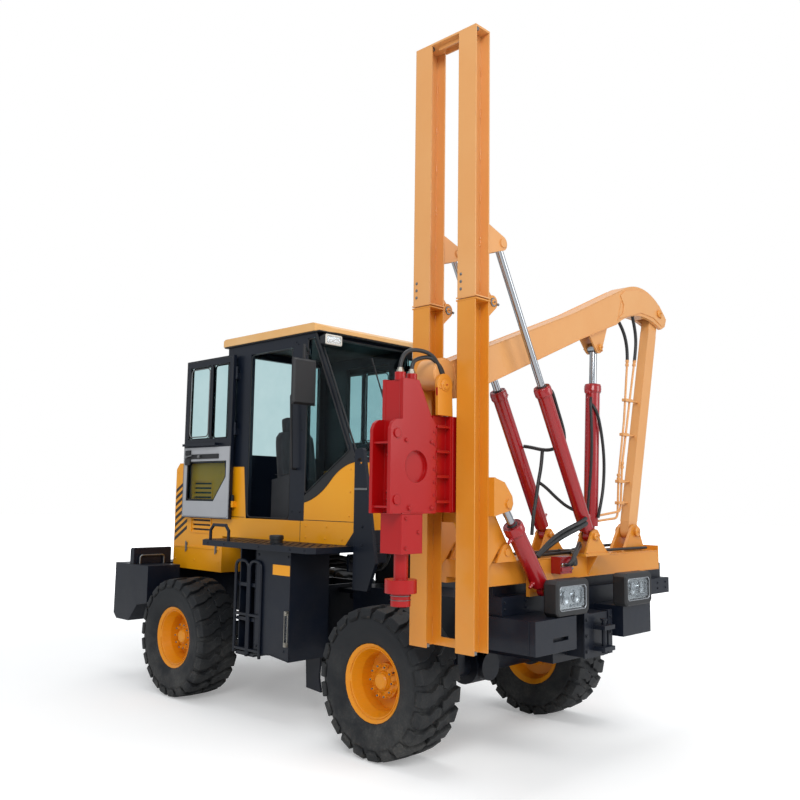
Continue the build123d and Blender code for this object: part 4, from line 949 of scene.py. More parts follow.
def cab_trim():
    """Seals, wiper, roof gasket and ribs, seams, hand rail, bolts and the band over the yellow cheek."""
    for side, name in SIDES:
        y = side * CAB_SIDE
        band = Piece()
        band.slab(S_CURVE + [(-0.790, 2.262), (-1.0, 2.135), (-1.2, 1.998), (-1.392, 1.858)], "y",
                  y + side * 0.0005,
                  y + side * 0.0035)
        band.slab([(-1.300, 3.335), (-1.275, 3.335), (-0.735, 2.195), (-0.760, 2.195)], "y",
                  y + side * 0.0005,
                  y + side * 0.004)
        band.done("quarter glass band " + name, BLACK_TRIM, "rear_chassis", bevel=0.001)
        seal("quarter glass seal " + name, [(-1.380, 1.872), (-1.380, 3.265), (-1.298, 3.265),
                                            (-0.812, 2.246)], "y",
             y + side * 0.003, "rear_chassis", 0.007)
        seal("doorway seal " + name, [(-2.235, 1.655), (-1.610, 1.655), (-1.610, 3.205), (-2.235, 3.205)],
             "y",
             side * 0.6465, "rear_chassis", 0.005, turn=0.05)
        rail = [(-1.655, y + side * 0.004, 2.100), (-1.655, y + side * 0.052, 2.100),
                (-1.690, y + side * 0.052, 2.770),
                (-1.690, y + side * 0.004, 2.770)]
        if side < 0:
            rail = [(x + 0.140, p, z) for x, p, z in rail]
            pipe("cab hand rail " + name, bent(rail, 0.035), 0.011, BLACK_TRIM, "rear_chassis")
        grooves = Piece()
        grooves.box(-1.435, -0.735, y - 0.0012, y + 0.0012, 1.6475, 1.6525)
        grooves.box(-1.4375, -1.4325, y - 0.0012, y + 0.0012, 1.457, 1.650)
        grooves.box(-2.620, -2.268, y - 0.0012, y + 0.0012, 1.6475, 1.6525)
        grooves.done("skirt seam " + name, STRIPE_BLACK, "rear_chassis")
        bolts = Piece()
        for x, z in ((-1.36, 1.50), (-1.10, 1.50), (-0.88, 1.50), (-1.36, 1.60), (-1.08, 1.60), (-0.80, 1.70),
                     (-2.58, 1.70), (-2.47, 1.70), (-2.58, 2.08), (-2.47, 2.08), (-0.79, 2.09),
                     (-0.79, 1.90)):
            bolts.bolt((x, y, z), (0, side, 0), 0.0085, 0.006)
        bolts.done("skirt bolts " + name, BODY_YELLOW, "rear_chassis", bevel=0.0006, slot="body_yellow")
        screws = Piece()
        for x, z in ((-2.53, 2.25), (-2.53, 2.75), (-2.53, 3.22), (-1.53, 3.24), (-1.45, 1.72), (-1.45, 2.45),
                     (-1.56, 1.72), (-1.56, 3.26)):
            screws.bolt((x, y, z), (0, side, 0), 0.008, 0.006)
        screws.done("cab frame bolts " + name, FRAME_NAVY, "rear_chassis", bevel=0.0006, slot="frame_navy")
    screen = Piece()
    for a, b in (((0.04, -0.612), (0.04, 0.612)), ((0.965, -0.612), (0.965, 0.612)),
                 ((0.04, -0.612), (0.965, -0.612)),
                 ((0.04, 0.612), (0.965, 0.612))):
        screen.rod(sloped(*a, 0.004), sloped(*b, 0.004), 0.009, 10)
    screen.done("windscreen seal", BLACK_TRIM, "rear_chassis", smooth=True)
    frame_strip = Piece()
    frame_strip.box(-2.672, -1.215, -0.672, 0.672, 3.318, 3.330)
    frame_strip.done("roof gasket", BLACK_TRIM, "rear_chassis", bevel=0.002)
    ribs = Piece()
    for y in (-0.42, -0.14, 0.14, 0.42):
        ribs.slab([(-2.60, y - 0.035), (-1.36, y - 0.035), (-1.36, y + 0.035), (-2.60, y + 0.035)], "z",
                  3.404, 3.412)
    ribs.slab([(-2.15, -0.20), (-1.75, -0.20), (-1.75, 0.20), (-2.15, 0.20)], "z", 3.404, 3.422)
    ribs.done("roof ribs and hatch", ROOF_CREAM, "rear_chassis", bevel=0.004, slot="body_yellow")
    wiper = Piece()
    pivot, tip = sloped(0.96, 0.10, 0.02), sloped(0.42, -0.06, 0.022)
    wiper.rod(pivot, tip, 0.006, 10)
    wiper.turned(pivot - Vector((0.02, 0, 0.01)), pivot + Vector((0.018, 0, 0.009)),
                 [(0, 0.018), (0.03, 0.018), (0.038, 0.012)])
    a, b = sloped(0.62, -0.075, 0.014), sloped(0.16, -0.045, 0.014)
    wiper.rod(a, b, 0.007, 8)
    wiper.done("windscreen wiper", BLACK_TRIM, "rear_chassis", bevel=0.001)


def door_trim():
    """Grey linings, seals, latch, hinges' bolts and the inner pulls of both doors."""
    for side, name, body in ((-1, "right", "right_door"), (1, "left", "left_door")):
        # rest pose: the right door lies back against the hood, the left one is shut
        hinge = -2.425

        def at_x(x):
            return 2 * hinge - x if side < 0 else x
        inner = -0.714 if side < 0 else 0.656
        way = -1    # the lined faces of both doors look to the right
        outer = -0.680 if side < 0 else 0.690

        def area(points):
            return [(at_x(x), z) for x, z in points]
        lining = Piece()
        for outline in ([(-2.402, 1.633), (-1.588, 1.633), (-1.588, 1.794), (-2.402, 1.794)],
                        [(-2.402, 2.192), (-1.588, 2.192), (-1.588, 2.330), (-2.402, 2.330)],
                        [(-1.649, 1.794), (-1.588, 1.794), (-1.588, 2.192), (-1.649, 2.192)],
                        [(-2.402, 1.794), (-2.342, 1.794), (-2.342, 2.192), (-2.402, 2.192)],
                        [(-2.342, 1.794), (-2.138, 1.794), (-2.342, 2.034)]):
            lining.slab(area(outline), "y", inner, inner + way * 0.0025)
        lining.done("door lining " + name, DOOR_GREY, body, bevel=0.001, slot="door_grey")
        band = Piece()
        band.slab(area([(-2.215, 2.215), (-1.640, 2.215), (-1.640, 2.262), (-2.215, 2.262)]), "y",
                  inner + way * 0.002,
                  inner + way * 0.014)
        band.slab(area([(-1.720, 2.155), (-1.630, 2.155), (-1.630, 2.305), (-1.720, 2.305)]), "y",
                  inner + way * 0.002,
                  inner + way * 0.020)
        band.done("door lock case " + name, BLACK_TRIM, body, bevel=0.003)
        lever = Piece()
        for x in (-1.675, -1.90):
            place = Vector((at_x(x), inner + way * 0.018, 2.238))
            lever.turned(place, place + Vector((0, way, 0)), [(0, 0.016), (0.02, 0.016), (0.024, 0.012)], 20)
        lever.rod((at_x(-1.675), inner + way * 0.034, 2.238), (at_x(-1.775), inner + way * 0.036, 2.252),
                  0.007, 12)
        lever.done("door lock lever " + name, STEEL, body, bevel=0.001, smooth=True)
        for k, outline in enumerate((
                [(-2.342, 2.421), (-2.057, 2.421), (-2.057, 3.154), (-2.342, 3.154)],
                [(-2.017, 2.421), (-1.648, 2.421), (-1.648, 3.154), (-2.017, 3.154)],
                [(-2.134, 1.806), (-1.661, 1.806), (-1.661, 2.179), (-2.329, 2.179), (-2.329, 2.034)])):
            for face, where, thick in ((inner - way * 0.001, "inner", 0.0040),
                                       (outer - way * 0.002, "outer", 0.0075)):
                seal("door pane seal %s %s %d" % (name, where, k), area(outline), "y", face, body, thick,
                     turn=0.04)
        seal("sliding pane frame " + name, area([(-2.000, 2.440), (-1.668, 2.440), (-1.668, 3.135),
                                                 (-2.000, 3.135)]), "y",
             inner - way * 0.003, body, 0.006, STEEL, 0.05)
        seal("door edge seal " + name, area([(-2.396, 1.640), (-1.596, 1.640), (-1.596, 3.215),
                                             (-2.396, 3.215)]), "y",
             inner - way * 0.002, body, 0.005, turn=0.04)
        bolts = Piece()
        for z in (1.83, 2.53, 3.08):
            for x in (-2.385, -2.370):
                bolts.bolt((at_x(x), outer - way * 0.008, z + (x + 2.377) * 2.2), (0, -way, 0), 0.006, 0.005)
        bolts.done("door hinge bolts " + name, STEEL, body)


def hood_trim():
    """Stripes, slot frames and latches of the hood, its guard, the exhaust collar and the rear hoop rails."""
    for side, name in SIDES:
        y = side * CAB_SIDE
        stripes = Piece()
        for k in range(8):
            z = 1.375 + 0.071 * k
            stripes.slab([(-3.490, z), (-3.490, z + 0.036), (-3.262, z + 0.166), (-3.262, z + 0.130)], "y",
                         y, y + side * 0.0014)
        stripes.done("hood stripes " + name, STRIPE_BLACK, "rear_chassis")
        trim = Piece()
        for outline in ([(-3.185, 1.470), (-3.185, 1.482), (-2.815, 1.482), (-2.815, 1.470)],
                        [(-3.185, 1.990), (-3.185, 2.002), (-2.815, 2.002), (-2.815, 1.990)],
                        [(-3.185, 1.482), (-3.173, 1.482), (-3.173, 1.990), (-3.185, 1.990)],
                        [(-2.827, 1.482), (-2.815, 1.482), (-2.815, 1.990), (-2.827, 1.990)]):
            trim.slab(outline, "y", y, y + side * 0.007)
        trim.box(-3.47, -2.66, y, y + side * 0.006, 1.318, 1.338)
        for x, z in ((-3.46, 1.20), (-3.10, 1.20), (-2.68, 1.20), (-3.46, 2.08), (-2.68, 2.08)):
            trim.bolt((x, y, z), (0, side, 0), 0.009, 0.007)
        trim.done("hood slot frame " + name, BODY_YELLOW, "rear_chassis", bevel=0.001, slot="body_yellow")
        latch = Piece()
        for x in (-3.25, -2.72):
            latch.box(x - 0.016, x + 0.016, y, y + side * 0.012, 1.29, 1.37)
            latch.rod((x, y + side * 0.014, 1.275), (x, y + side * 0.014, 1.385), 0.006, 10)
        latch.done("hood latches " + name, STEEL, "rear_chassis", bevel=0.002)
        # Painted shade: a dark sheet just inside the hood behind each slot frame stands for the shade inside
        # the hood.
        dark = Piece()
        dark.box(-3.165, -2.835, side * 0.622, side * 0.628, 1.49, 1.985)
        dark.done("hood slot painted shade sheet " + name, DARK_CAB, "rear_chassis")
    guard = Piece()
    for y in (-0.52, 0.52):
        for z in (1.22, 1.50, 1.80, 2.09):
            guard.bolt((-3.595, y, z), (-1, 0, 0), 0.011, 0.009)
    for z in (1.215, 2.095):
        for y in (-0.3, 0.0, 0.3):
            guard.bolt((-3.595, y, z), (-1, 0, 0), 0.009, 0.007)
    guard.done("radiator guard bolts", STEEL, "rear_chassis", bevel=0.0008)
    core = Piece()
    core.box(-3.530, -3.515, -0.47, 0.47, 1.27, 2.04)
    for k in range(46):
        core.box(-3.534, -3.530, -0.465 + 0.0205 * k, -0.458 + 0.0205 * k, 1.275, 2.035)
    core.done("radiator core", DARK_CAB, "rear_chassis")
    stack = Piece()
    stack.turned((-2.95, 0.42, 2.178), (-2.95, 0.42, 2.5),
                 [(0, 0.07), (0.012, 0.07), (0.013, 0.048), (0.12, 0.048),
                                                          (0.121, 0.052), (0.135, 0.052), (0.136, 0.044),
                                                          (0.155, 0.043)], 36)
    stack.done("exhaust collar", STEEL, "rear_chassis", smooth=True)
    for side, name in SIDES:
        y0, y1, x = side * 1.03, side * 0.76, -3.500
        pipe("rear hoop rail " + name, bent([(x, y0, 1.150), (x, y0, 1.235), (x, y1, 1.235), (x, y1, 1.0)],
                                            0.03), 0.010,
             STEEL, "rear_chassis")


def rear_trim():
    """Tail lamps on the low walls over the counterweight."""
    glass, cases, back = Piece(), Piece(), Vector((-1, 0, 0))
    for side in (-1, 1):
        for y in (0.96, 0.82):
            centre = Vector((-3.590, side * y, 1.232))
            cases.turned(centre, centre + back, [(0, 0.058), (0.010, 0.058), (0.012, 0.054)], 32)
            glass.turned(centre + back * 0.010, centre + back,
                         [(0, 0.050), (0.006, 0.047), (0.010, 0.030), (0.011, 0.004)],
                         32)
    cases.done("tail lamp cases", BLACK_TRIM, "rear_chassis", smooth=True)
    glass.done("tail lamp lenses", LAMP_RED, "rear_chassis", smooth=True)


# ---------------------------------------------------------------- platforms

def tread_bars(piece, x0, x1, y0, y1, z, pitch=0.045):
    """The raised pattern of tread plate: short bars set crosswise by turns."""
    nx, ny = int((x1 - x0) / pitch), int((y1 - y0) / pitch)
    for i in range(nx):
        for j in range(ny):
            x, y = x0 + (i + 0.5) * (x1 - x0) / nx, y0 + (j + 0.5) * (y1 - y0) / ny
            a = radians(45 if (i + j) % 2 else -45)
            ux, uy, vx, vy = 0.014 * cos(a), 0.014 * sin(a), -0.0035 * sin(a), 0.0035 * cos(a)
            low = [(x - ux, y - uy, z), (x + vx, y + vy, z), (x + ux, y + uy, z), (x - vx, y - vy, z)]
            piece.faces([low, [(p, q, z + 0.0022) for p, q, _ in low]])


def platform_trim():
    """Tread plate, ladder, level gauge, filler cap and bolts of each tank; a bare plate on the right one."""
    for side, name in SIDES:
        tread = Piece()
        y0, y1 = sorted((side * 0.72, side * 1.10))
        tread_bars(tread, -2.22, -0.78, y0, y1, PLATFORM_TOP)
        for z in (0.530, 0.820, 1.110):
            y0, y1 = sorted((side * 0.845, side * 1.045))
            tread_bars(tread, -1.755, -1.535, y0, y1, z)
        tread.done("tread plate " + name, FRAME_NAVY, "rear_chassis", slot="frame_navy")
        y = side * 1.062
        for x0, x1, k in ((-1.790, -1.610, 0), (-1.590, -1.430, 1)):
            route = bent([(x0, y, 0.52), (x0, y, 1.300), (x1, y, 1.300), (x1, y, 0.50)], 0.07)
            pipe("ladder tube %s %d" % (name, k), route, 0.014, FRAME_NAVY, "rear_chassis")
        rungs = Piece()
        for z in (0.545, 0.835):
            rungs.box(-1.790, -1.430, *sorted((side * 1.030, side * 1.072)), z, z + 0.022)
        rungs.done("ladder rungs " + name, FRAME_NAVY, "rear_chassis", bevel=0.003, slot="frame_navy")
        y = side * TANK_SIDE
        if side < 0:
            plate = Piece()
            plate.box(-1.290, -1.060, *sorted((y, y + side * 0.002)), 1.205, 1.290)
            plate.done("blank plate " + name, BODY_YELLOW, "rear_chassis", bevel=0.001, slot="body_yellow")
        gauge, caps = Piece(), Piece()
        x = -1.075
        gauge.rod((x, y + side * 0.016, 0.665), (x, y + side * 0.016, 0.905), 0.009, 16)
        gauge.done("level gauge tube " + name, LENS, "rear_chassis", smooth=True)
        for z in (0.655, 0.905):
            caps.box(x - 0.016, x + 0.016, *sorted((y, y + side * 0.030)), z - 0.012, z + 0.022)
            caps.bolt((x, y + side * 0.030, z + 0.005), (0, side, 0), 0.009, 0.007)
        for k in range(2):
            bar = x + (0.021 if k else -0.021)
            caps.rod((bar, y + side * 0.020, 0.66), (bar, y + side * 0.020, 0.91), 0.003, 8)
        caps.done("level gauge ends " + name, ZINC, "rear_chassis", bevel=0.001)
        bits = Piece()
        bits.turned((-1.42, side * 0.92, PLATFORM_TOP), (-1.42, side * 0.92, 2),
                    [(0, 0.055), (0.03, 0.055), (0.031, 0.062),
                                                                        (0.06, 0.062), (0.068, 0.054)], 32)
        bits.done("tank filler cap " + name, BLACK_TRIM, "rear_chassis", bevel=0.001, smooth=True)
        seams = Piece()
        for x in (-1.523, -1.058):
            seams.bead([(x, y + side * 0.001, 0.54), (x, y + side * 0.001, 1.395)], 0.004)
        seams.bead([(-1.52, y + side * 0.001, 0.53), (-1.30, y + side * 0.001, 0.552),
                    (-1.06, y + side * 0.001, 0.528)], 0.004)
        seams.done("tank weld seams " + name, FRAME_NAVY, "rear_chassis", smooth=True, slot="frame_navy")
        bolts = Piece()
        for x in (-2.15, -1.90, -1.40, -0.98, -0.80):
            bolts.bolt((x, side * 1.130, 1.430), (0, side, 0), 0.009, 0.007)
        for x, z in ((-1.49, 1.36), (-1.09, 1.36), (-1.49, 0.60), (-1.12, 0.60)):
            bolts.bolt((x, y, z), (0, side, 0), 0.010, 0.008)
        # guard post: two bolts low on the plate and a light bar across it
        for z in (1.62, 1.47):
            bolts.bolt((-0.60, side * 0.690, z), (0, side, 0), 0.013, 0.010)
        bolts.done("platform bolts " + name, FRAME_NAVY, "rear_chassis", bevel=0.0008, slot="frame_navy")
        bar = Piece()
        bar.box(-0.690, -0.545, *sorted((side * 0.690, side * 0.702)), 1.915, 1.933)
        bar.done("guard post bar " + name, STEEL, "rear_chassis", bevel=0.002)


# ---------------------------------------------------------------- hoses past the steering pivot

def steering_hoses():
    """Hose bundle from the rear frame to the front one, slung under the cab past the steering pivot."""
    for k, (y, z) in enumerate(((-0.44, 1.340), (-0.38, 1.300), (-0.33, 1.262), (-0.28, 1.325),
                                (-0.23, 1.285), (-0.18, 1.240))):
        route = [(-1.750, y + 0.05, z - 0.10), (-1.580, y, z - 0.01), (-1.350, y + 0.01, z - 0.03),
                 (-1.130, y, z),
                 (-0.960, y + 0.01, z - 0.035), (-0.840, y + 0.03, z + 0.02), (-0.800, y + 0.05, 1.450)]
        pipe("steering hose %d" % k, route, 0.019 - 0.002 * (k % 3), HOSE_BLACK, "rear_chassis",
             smooth_route=True)
    straps = Piece()
    for x in (-1.480, -1.020):
        straps.slab([(-0.465, 1.215), (-0.155, 1.215), (-0.155, 1.365), (-0.465, 1.365)], "x", x, x + 0.030)
    straps.done("steering hose straps", FRAME_NAVY, "rear_chassis", bevel=0.003, slot="frame_navy")


# ---------------------------------------------------------------- lamps and mirrors

def lamp_trim():
    """Headlamp housings, reflectors, lenses and bezels; the lamps under the roof; the mirrors' glass."""
    lens, bezel, bowl, case = Piece(), Piece(), Piece(), Piece()

    def outline(y, half_y, half_z, cut, x):
        corners = [(half_y - cut, half_z), (half_y, half_z - cut)]
        corners += [(p, -q) for p, q in corners[::-1]]
        corners += [(-p, q) for p, q in corners[::-1]]
        return [(x, y + p, 1.201 + q) for p, q in corners]
    for y in (-0.450, 0.450):
        case.faces([outline(y, 0.196, 0.117, 0.022, 1.140), outline(y, 0.200, 0.121, 0.026, 1.150),
                    outline(y, 0.200, 0.121, 0.026, 1.238), outline(y, 0.190, 0.111, 0.024, 1.2495),
                    outline(y, 0.165, 0.082, 0.018, 1.2495), outline(y, 0.158, 0.076, 0.016, 1.228)])
        bowl.faces([outline(y, 0.156, 0.074, 0.016, x) for x in (1.2285, 1.2290)])
        lens.faces([outline(y, 0.161, 0.079, 0.017, x) for x in (1.2405, 1.2455)])
        rim = outline(y, 0.163, 0.080, 0.018, 1.2445)
        for a, b in zip(rim, rim[1:] + rim[:1]):
            bezel.rod(a, b, 0.0045, 10)
        bezel.slab([(y - 0.010, 1.140), (y + 0.145, 1.140), (y + 0.145, 1.262), (y + 0.122, 1.262),
                    (y + 0.116, 1.162),
                    (y - 0.010, 1.156)], "x", 1.2300, 1.2370)
        for shift, radius in ((-0.088, 0.050), (0.045, 0.044)):
            centre = Vector((1.2292, y + shift, 1.207))
            bezel.turned(centre, centre + Vector((1, 0, 0)),
                         [(0, radius), (0.008, radius), (0.008, radius - 0.004),
                                                              (0.002, radius - 0.014)], 32)
    case.done("headlamp housings", BLACK_TRIM, "front_chassis", bevel=0.003, replaces=["headlights"],
              slot="lamp_body")
    bowl.done("headlamp reflectors", MIRROR, "front_chassis", smooth=True)
    lens.done("headlamp lenses", LENS, "front_chassis", bevel=0.001)
    bezel.done("headlamp bezels", CHROME, "front_chassis", smooth=True, slot="rod_chrome")
    rims, glass, back = Piece(), Piece(), Piece()
    for y in (-0.560, 0.560):
        x = -1.145
        for (p, q), (p2, q2) in (((-0.088, 3.204), (0.088, 3.204)), ((0.088, 3.204), (0.088, 3.281)),
                                 ((0.088, 3.281), (-0.088, 3.281)), ((-0.088, 3.281), (-0.088, 3.204))):
            rims.rod((x, y + p, q), (x, y + p2, q2), 0.0085, 10)
        back.box(x, x + 0.001, y - 0.085, y + 0.085, 3.206, 3.279)
        glass.box(x + 0.003, x + 0.007, y - 0.084, y + 0.084, 3.207, 3.278)
    rims.done("work lamp rims", WARM_WHITE, "rear_chassis", smooth=True)
    back.done("work lamp reflectors", MIRROR, "rear_chassis")
    glass.done("work lamp lenses", LENS, "rear_chassis")
    for side, name in SIDES:
        mirror, frame_ring = Piece(), Piece()
        y0, y1 = sorted((side * 0.762, side * 0.983))
        mirror.box(-1.1965, -1.195, y0, y1, 2.657, 3.018)
        mirror.done("mirror glass " + name, MIRROR, "rear_chassis", bevel=0.001)
        frame_ring.box(-1.180, -1.160, y0 - 0.0185, y1 + 0.0185, 2.637, 3.038)
        frame_ring.done("mirror shell rib " + name, BLACK_TRIM, "rear_chassis", bevel=0.004)


# ---------------------------------------------------------------- front, deck and boom

def front_trim():
    """Hitch angles, bolts and weld seams of the nose."""
    hitch, bolts, seams = Piece(), Piece(), Piece()
    for y0, y1 in ((-0.155, -0.100), (0.170, 0.225)):
        hitch.box(1.135, 1.148, y0, y1, 0.745, 1.060)
        inner = y1 if y0 < 0 else y0
        hitch.box(1.060, 1.140, inner - 0.006, inner + 0.006, 0.745, 1.060)
    for y in (-0.128, 0.198):
        for z in (0.79, 0.90, 1.01):
            hitch.bolt((1.148, y, z), (1, 0, 0), 0.013, 0.011)
    hitch.rod((1.190, 0.035, 1.000), (1.190, 0.035, 1.012), 0.026)
    hitch.done("hitch angles", FRAME_NAVY, "front_chassis", bevel=0.002, slot="frame_navy")
    for y in (-0.84, -0.60, 0.86, 1.10, 1.30, 1.44):
        for z in (1.125, 1.170):
            bolts.bolt((0.960, y, z), (1, 0, 0), 0.010, 0.008)
    bolts.done("nose bolts", FRAME_NAVY, "front_chassis", bevel=0.0008, slot="frame_navy")
    for x in (0.700, 1.200):
        seams.bead([(x, -0.901, 0.865), (x, -0.901, 1.075)], 0.004)
    seams.bead([(1.2455, -0.885, 0.861), (1.2455, -0.435, 0.861)], 0.004)
    seams.done("nose weld seams", FRAME_NAVY, "front_chassis", smooth=True, slot="frame_navy")


def deck_trim():
    """Welds, bolts, unions and the hoses that run along the deck."""
    top, front = 1.445, 0.965
    seams = Piece()
    for x in COLUMNS_X:
        for dx in (-0.051, 0.051):
            seams.bead([(x + dx, 0.045, top + 0.021), (x + dx, 0.345, top + 0.021)], 0.005)
    for dx in (-0.072, 0.072):
        seams.bead([(MAST_X + dx, 0.925, top + 0.001), (MAST_X + dx, 1.255, top + 0.001)], 0.006)
    for dx in (-0.051, 0.051):
        seams.bead([(MAST_X + dx, 0.430, top + 0.001), (MAST_X + dx, 0.600, top + 0.001)], 0.005)
    for z in (1.290, 1.440):
        seams.bead([(front + 0.001, -1.01, z), (front + 0.001, -0.62, z)], 0.004)
        seams.bead([(front + 0.001, -0.47, z), (front + 0.001, 1.30, z)], 0.004)
    seams.done("deck weld seams", ARM_ORANGE, "deck_body", smooth=True, slot="arm_orange")
    bolts = Piece()
    for x in COLUMNS_X:
        for y in (0.05, 0.34):
            bolts.bolt((x + 0.055, y, top + 0.020), (0, 0, 1), 0.010, 0.008)
            bolts.bolt((x - 0.055, y, top + 0.020), (0, 0, 1), 0.010, 0.008)
    bolts.done("deck bolts", ARM_ORANGE, "deck_body", bevel=0.0008, slot="arm_orange")
    zinc = Piece()
    for z in (1.365, 1.420):
        foot = Vector((1.005, -0.118, z))
        zinc.turned(foot, foot + Vector((0, 1, 0)),
                    [(0, 0.015), (0.016, 0.015), (0.018, 0.011), (0.034, 0.011)], 6)
    for y in (-0.285, -0.245, -0.205, -0.165):
        foot = Vector((1.046, y, 1.400))
        zinc.turned(foot, foot + Vector((1, 0, 0)),
                    [(0, 0.014), (0.012, 0.014), (0.014, 0.010), (0.028, 0.010)], 6)
    zinc.done("valve unions", CHROME, "deck_body", bevel=0.0008, slot="rod_chrome")
    block = Piece()
    block.box(1.046, 1.052, -0.292, -0.158, 1.350, 1.380)
    for y in (-0.282, -0.168):
        block.bolt((1.046, y, 1.440), (1, 0, 0), 0.007, 0.006)
        block.bolt((1.046, y, 1.352), (1, 0, 0), 0.007, 0.006)
    block.done("valve block screws", CYLINDER_RED, "deck_body", bevel=0.001, slot="cylinder_red")
    for k, (route, radius) in enumerate((
            ([(1.074, -0.285, 1.400), (1.120, -0.285, 1.400), (1.110, -0.20, 1.500), (1.005, 0.02, 1.560),
              (0.900, 0.20, 1.480),
              (0.880, 0.30, 1.465)], 0.0115),
            ([(1.074, -0.245, 1.400), (1.110, -0.245, 1.410), (1.100, -0.18, 1.480), (1.000, 0.05, 1.530),
              (0.860, 0.24, 1.480),
              (0.850, 0.33, 1.465)], 0.0115),
            ([(1.074, -0.205, 1.400), (1.105, -0.200, 1.400), (1.050, -0.120, 1.480), (0.930, 0.08, 1.475),
              (0.700, 0.20, 1.465),
              (0.560, 0.40, 1.460)], 0.011),
            ([(1.074, -0.165, 1.400), (1.095, -0.160, 1.390), (1.010, -0.06, 1.465), (0.86, 0.12, 1.462),
              (0.66, 0.42, 1.462),
              (0.560, 0.70, 1.460)], 0.011),
            ([(0.56, 0.70, 1.460), (0.555, 0.95, 1.465), (0.560, 1.20, 1.470), (0.700, 1.28, 1.490)], 0.013),
            ([(0.905, -0.60, 1.462), (0.900, -0.30, 1.462), (0.880, 0.02, 1.465), (0.885, 0.36, 1.465),
              (0.880, 0.80, 1.465),
              (0.900, 1.22, 1.465)], 0.012),
            ([(0.700, -0.72, 1.462), (0.690, -0.30, 1.460), (0.700, 0.02, 1.462), (0.690, 0.50, 1.462)],
             0.012))):
        pipe("deck hose %d" % k, route, radius, HOSE_BLACK, "deck_body", smooth_route=True)
    pipe("tilt hose", [(0.905, -0.60, 1.455), (0.935, -0.66, 1.48), (0.985, -0.66, 1.44), (1.0, -0.60, 1.36),
                       (0.99, -0.56, 1.31)],
         0.0105, HOSE_BLACK, "deck_body", smooth_route=True)
    for k, lift in enumerate((0.0, 0.035)):
        pipe("valve sleeve hose %d" % k, [(0.930, -0.420, 1.456), (0.950, -0.370, 1.500 + lift * 0.5),
                                          (0.985, -0.250, 1.575 + lift),
                                          (1.030, -0.120, 1.635 + lift), (1.045, -0.020, 1.665 + lift),
                                          (1.040, 0.050, 1.690 + lift)], 0.019 - 0.004 * k, HOSE_BLACK,
                                          "deck_body",
             smooth_route=True)


def ram_hoses():
    """Hoses of the fold and lift cylinders, each riding on the barrel that it feeds."""
    def run(name, x, points, radius, body="fold_barrel_body"):
        pipe(name, [(x + (p[2] if len(p) > 2 else 0.0), p[0], p[1]) for p in points], radius, HOSE_BLACK,
             body,
             smooth_route=True)
    run("fold right head hose", 1.016, ((-0.375, 2.640), (-0.358, 2.655), (-0.330, 2.620), (-0.278, 2.520),
                                        (-0.225, 2.425),
                                        (-0.185, 2.335), (-0.190, 2.285)), 0.011)
    run("fold rams tee hose", 0.594, ((-0.185, 2.262, 0.052), (-0.170, 2.258, 0.09), (-0.160, 2.232, 0.20),
                                      (-0.158, 2.228, 0.28), (-0.168, 2.245, 0.345)), 0.0135)
    run("fold rams drop hose", 0.800, ((-0.160, 2.228), (-0.172, 2.120), (-0.215, 1.990), (-0.245, 1.860),
                                       (-0.285, 1.730),
                                       (-0.300, 1.600)), 0.0135)
    run("fold rams loop hose", 0.800, ((-0.215, 1.990), (-0.175, 1.960, 0.03), (-0.110, 1.880, 0.08),
                                       (-0.030, 1.800, 0.14),
                                       (0.035, 1.775, 0.18)), 0.012)
    run("lift head hose", 0.793, ((0.510, 2.690, 0.02), (0.490, 2.650, 0.03), (0.482, 2.520, 0.04),
                                  (0.472, 2.300, 0.05),
                                  (0.462, 2.050, 0.04), (0.455, 1.860, 0.02), (0.458, 1.720, 0.01)), 0.011,
                                  "lift_barrel_body")
    run("lift crossing hose", 0.793, ((0.510, 2.640, 0.02), (0.510, 2.600, 0.070), (0.555, 2.420, 0.086),
                                      (0.590, 2.200, 0.090),
                                      (0.575, 1.980, 0.090), (0.535, 1.820, 0.084), (0.515, 1.720, 0.070)),
                                      0.0125,
        "lift_barrel_body")


def boom_trim():
    """Weld seams, overlay plates and head rings of the boom."""
    x0, x1 = MAST_X - 0.075, MAST_X + 0.075
    edge = [(-1.240, 2.520), (-0.730, 2.725), (0.320, 3.150), (0.850, 3.345)]
    top = [(-1.300, 2.760), (-0.800, 2.950), (0.180, 3.325), (0.940, 3.655)]
    seams = Piece()
    for x in (x0, x1):
        for line in (edge, top):
            for (ya, za), (yb, zb) in zip(line, line[1:]):
                seams.bead([(x, ya, za), (x, yb, zb)], 0.0045)
    seams.bead([(x1 + 0.001, 0.86, 3.372), (x1 + 0.001, 0.955, 3.645)], 0.005)
    seams.done("boom weld seams", ARM_PALE, "boom_body", smooth=True, slot="arm_orange")
    plates = Piece()
    for side in (-1, 1):
        x = MAST_X + side * 0.075
        outer = x + side * 0.008
        c_shape = [(0.860, 3.392), (1.080, 3.455), (1.262, 3.508), (1.480, 3.500), (1.640, 3.445),
                   (1.690, 3.470), (1.712, 3.515),
                   (1.600, 3.625), (1.420, 3.694), (1.200, 3.700), (0.985, 3.655), (0.905, 3.600),
                   (0.960, 3.530), (0.945, 3.450)]
        plates.slab(c_shape, "x", *sorted((x, outer)))
        plates.slab([(-1.235, 2.560), (-0.98, 2.665), (-1.06, 2.80), (-1.285, 2.735)], "x",
                    *sorted((x, outer)))
        for y, z in ((-1.12, 2.66), (-1.03, 2.72)):
            plates.bolt((outer, y, z), (side, 0, 0), 0.011, 0.009)
    plates.done("boom overlay plates", ARM_PALE, "boom_body", bevel=0.002, slot="arm_orange")
    head = Piece()
    for side in (-1, 1):
        place = Vector((MAST_X + side * 0.075, -1.370, 2.670))
        out = Vector((side, 0, 0))
        head.turned(place, place + out, [(0, 0.098), (0.004, 0.094)], 40)
        head.turned(place, place + out, [(0, 0.046), (0.006, 0.046), (0.0065, 0.040)], 32)
    head.done("boom head rings", ARM_PALE, "boom_body", bevel=0.001, smooth=True, slot="arm_orange")


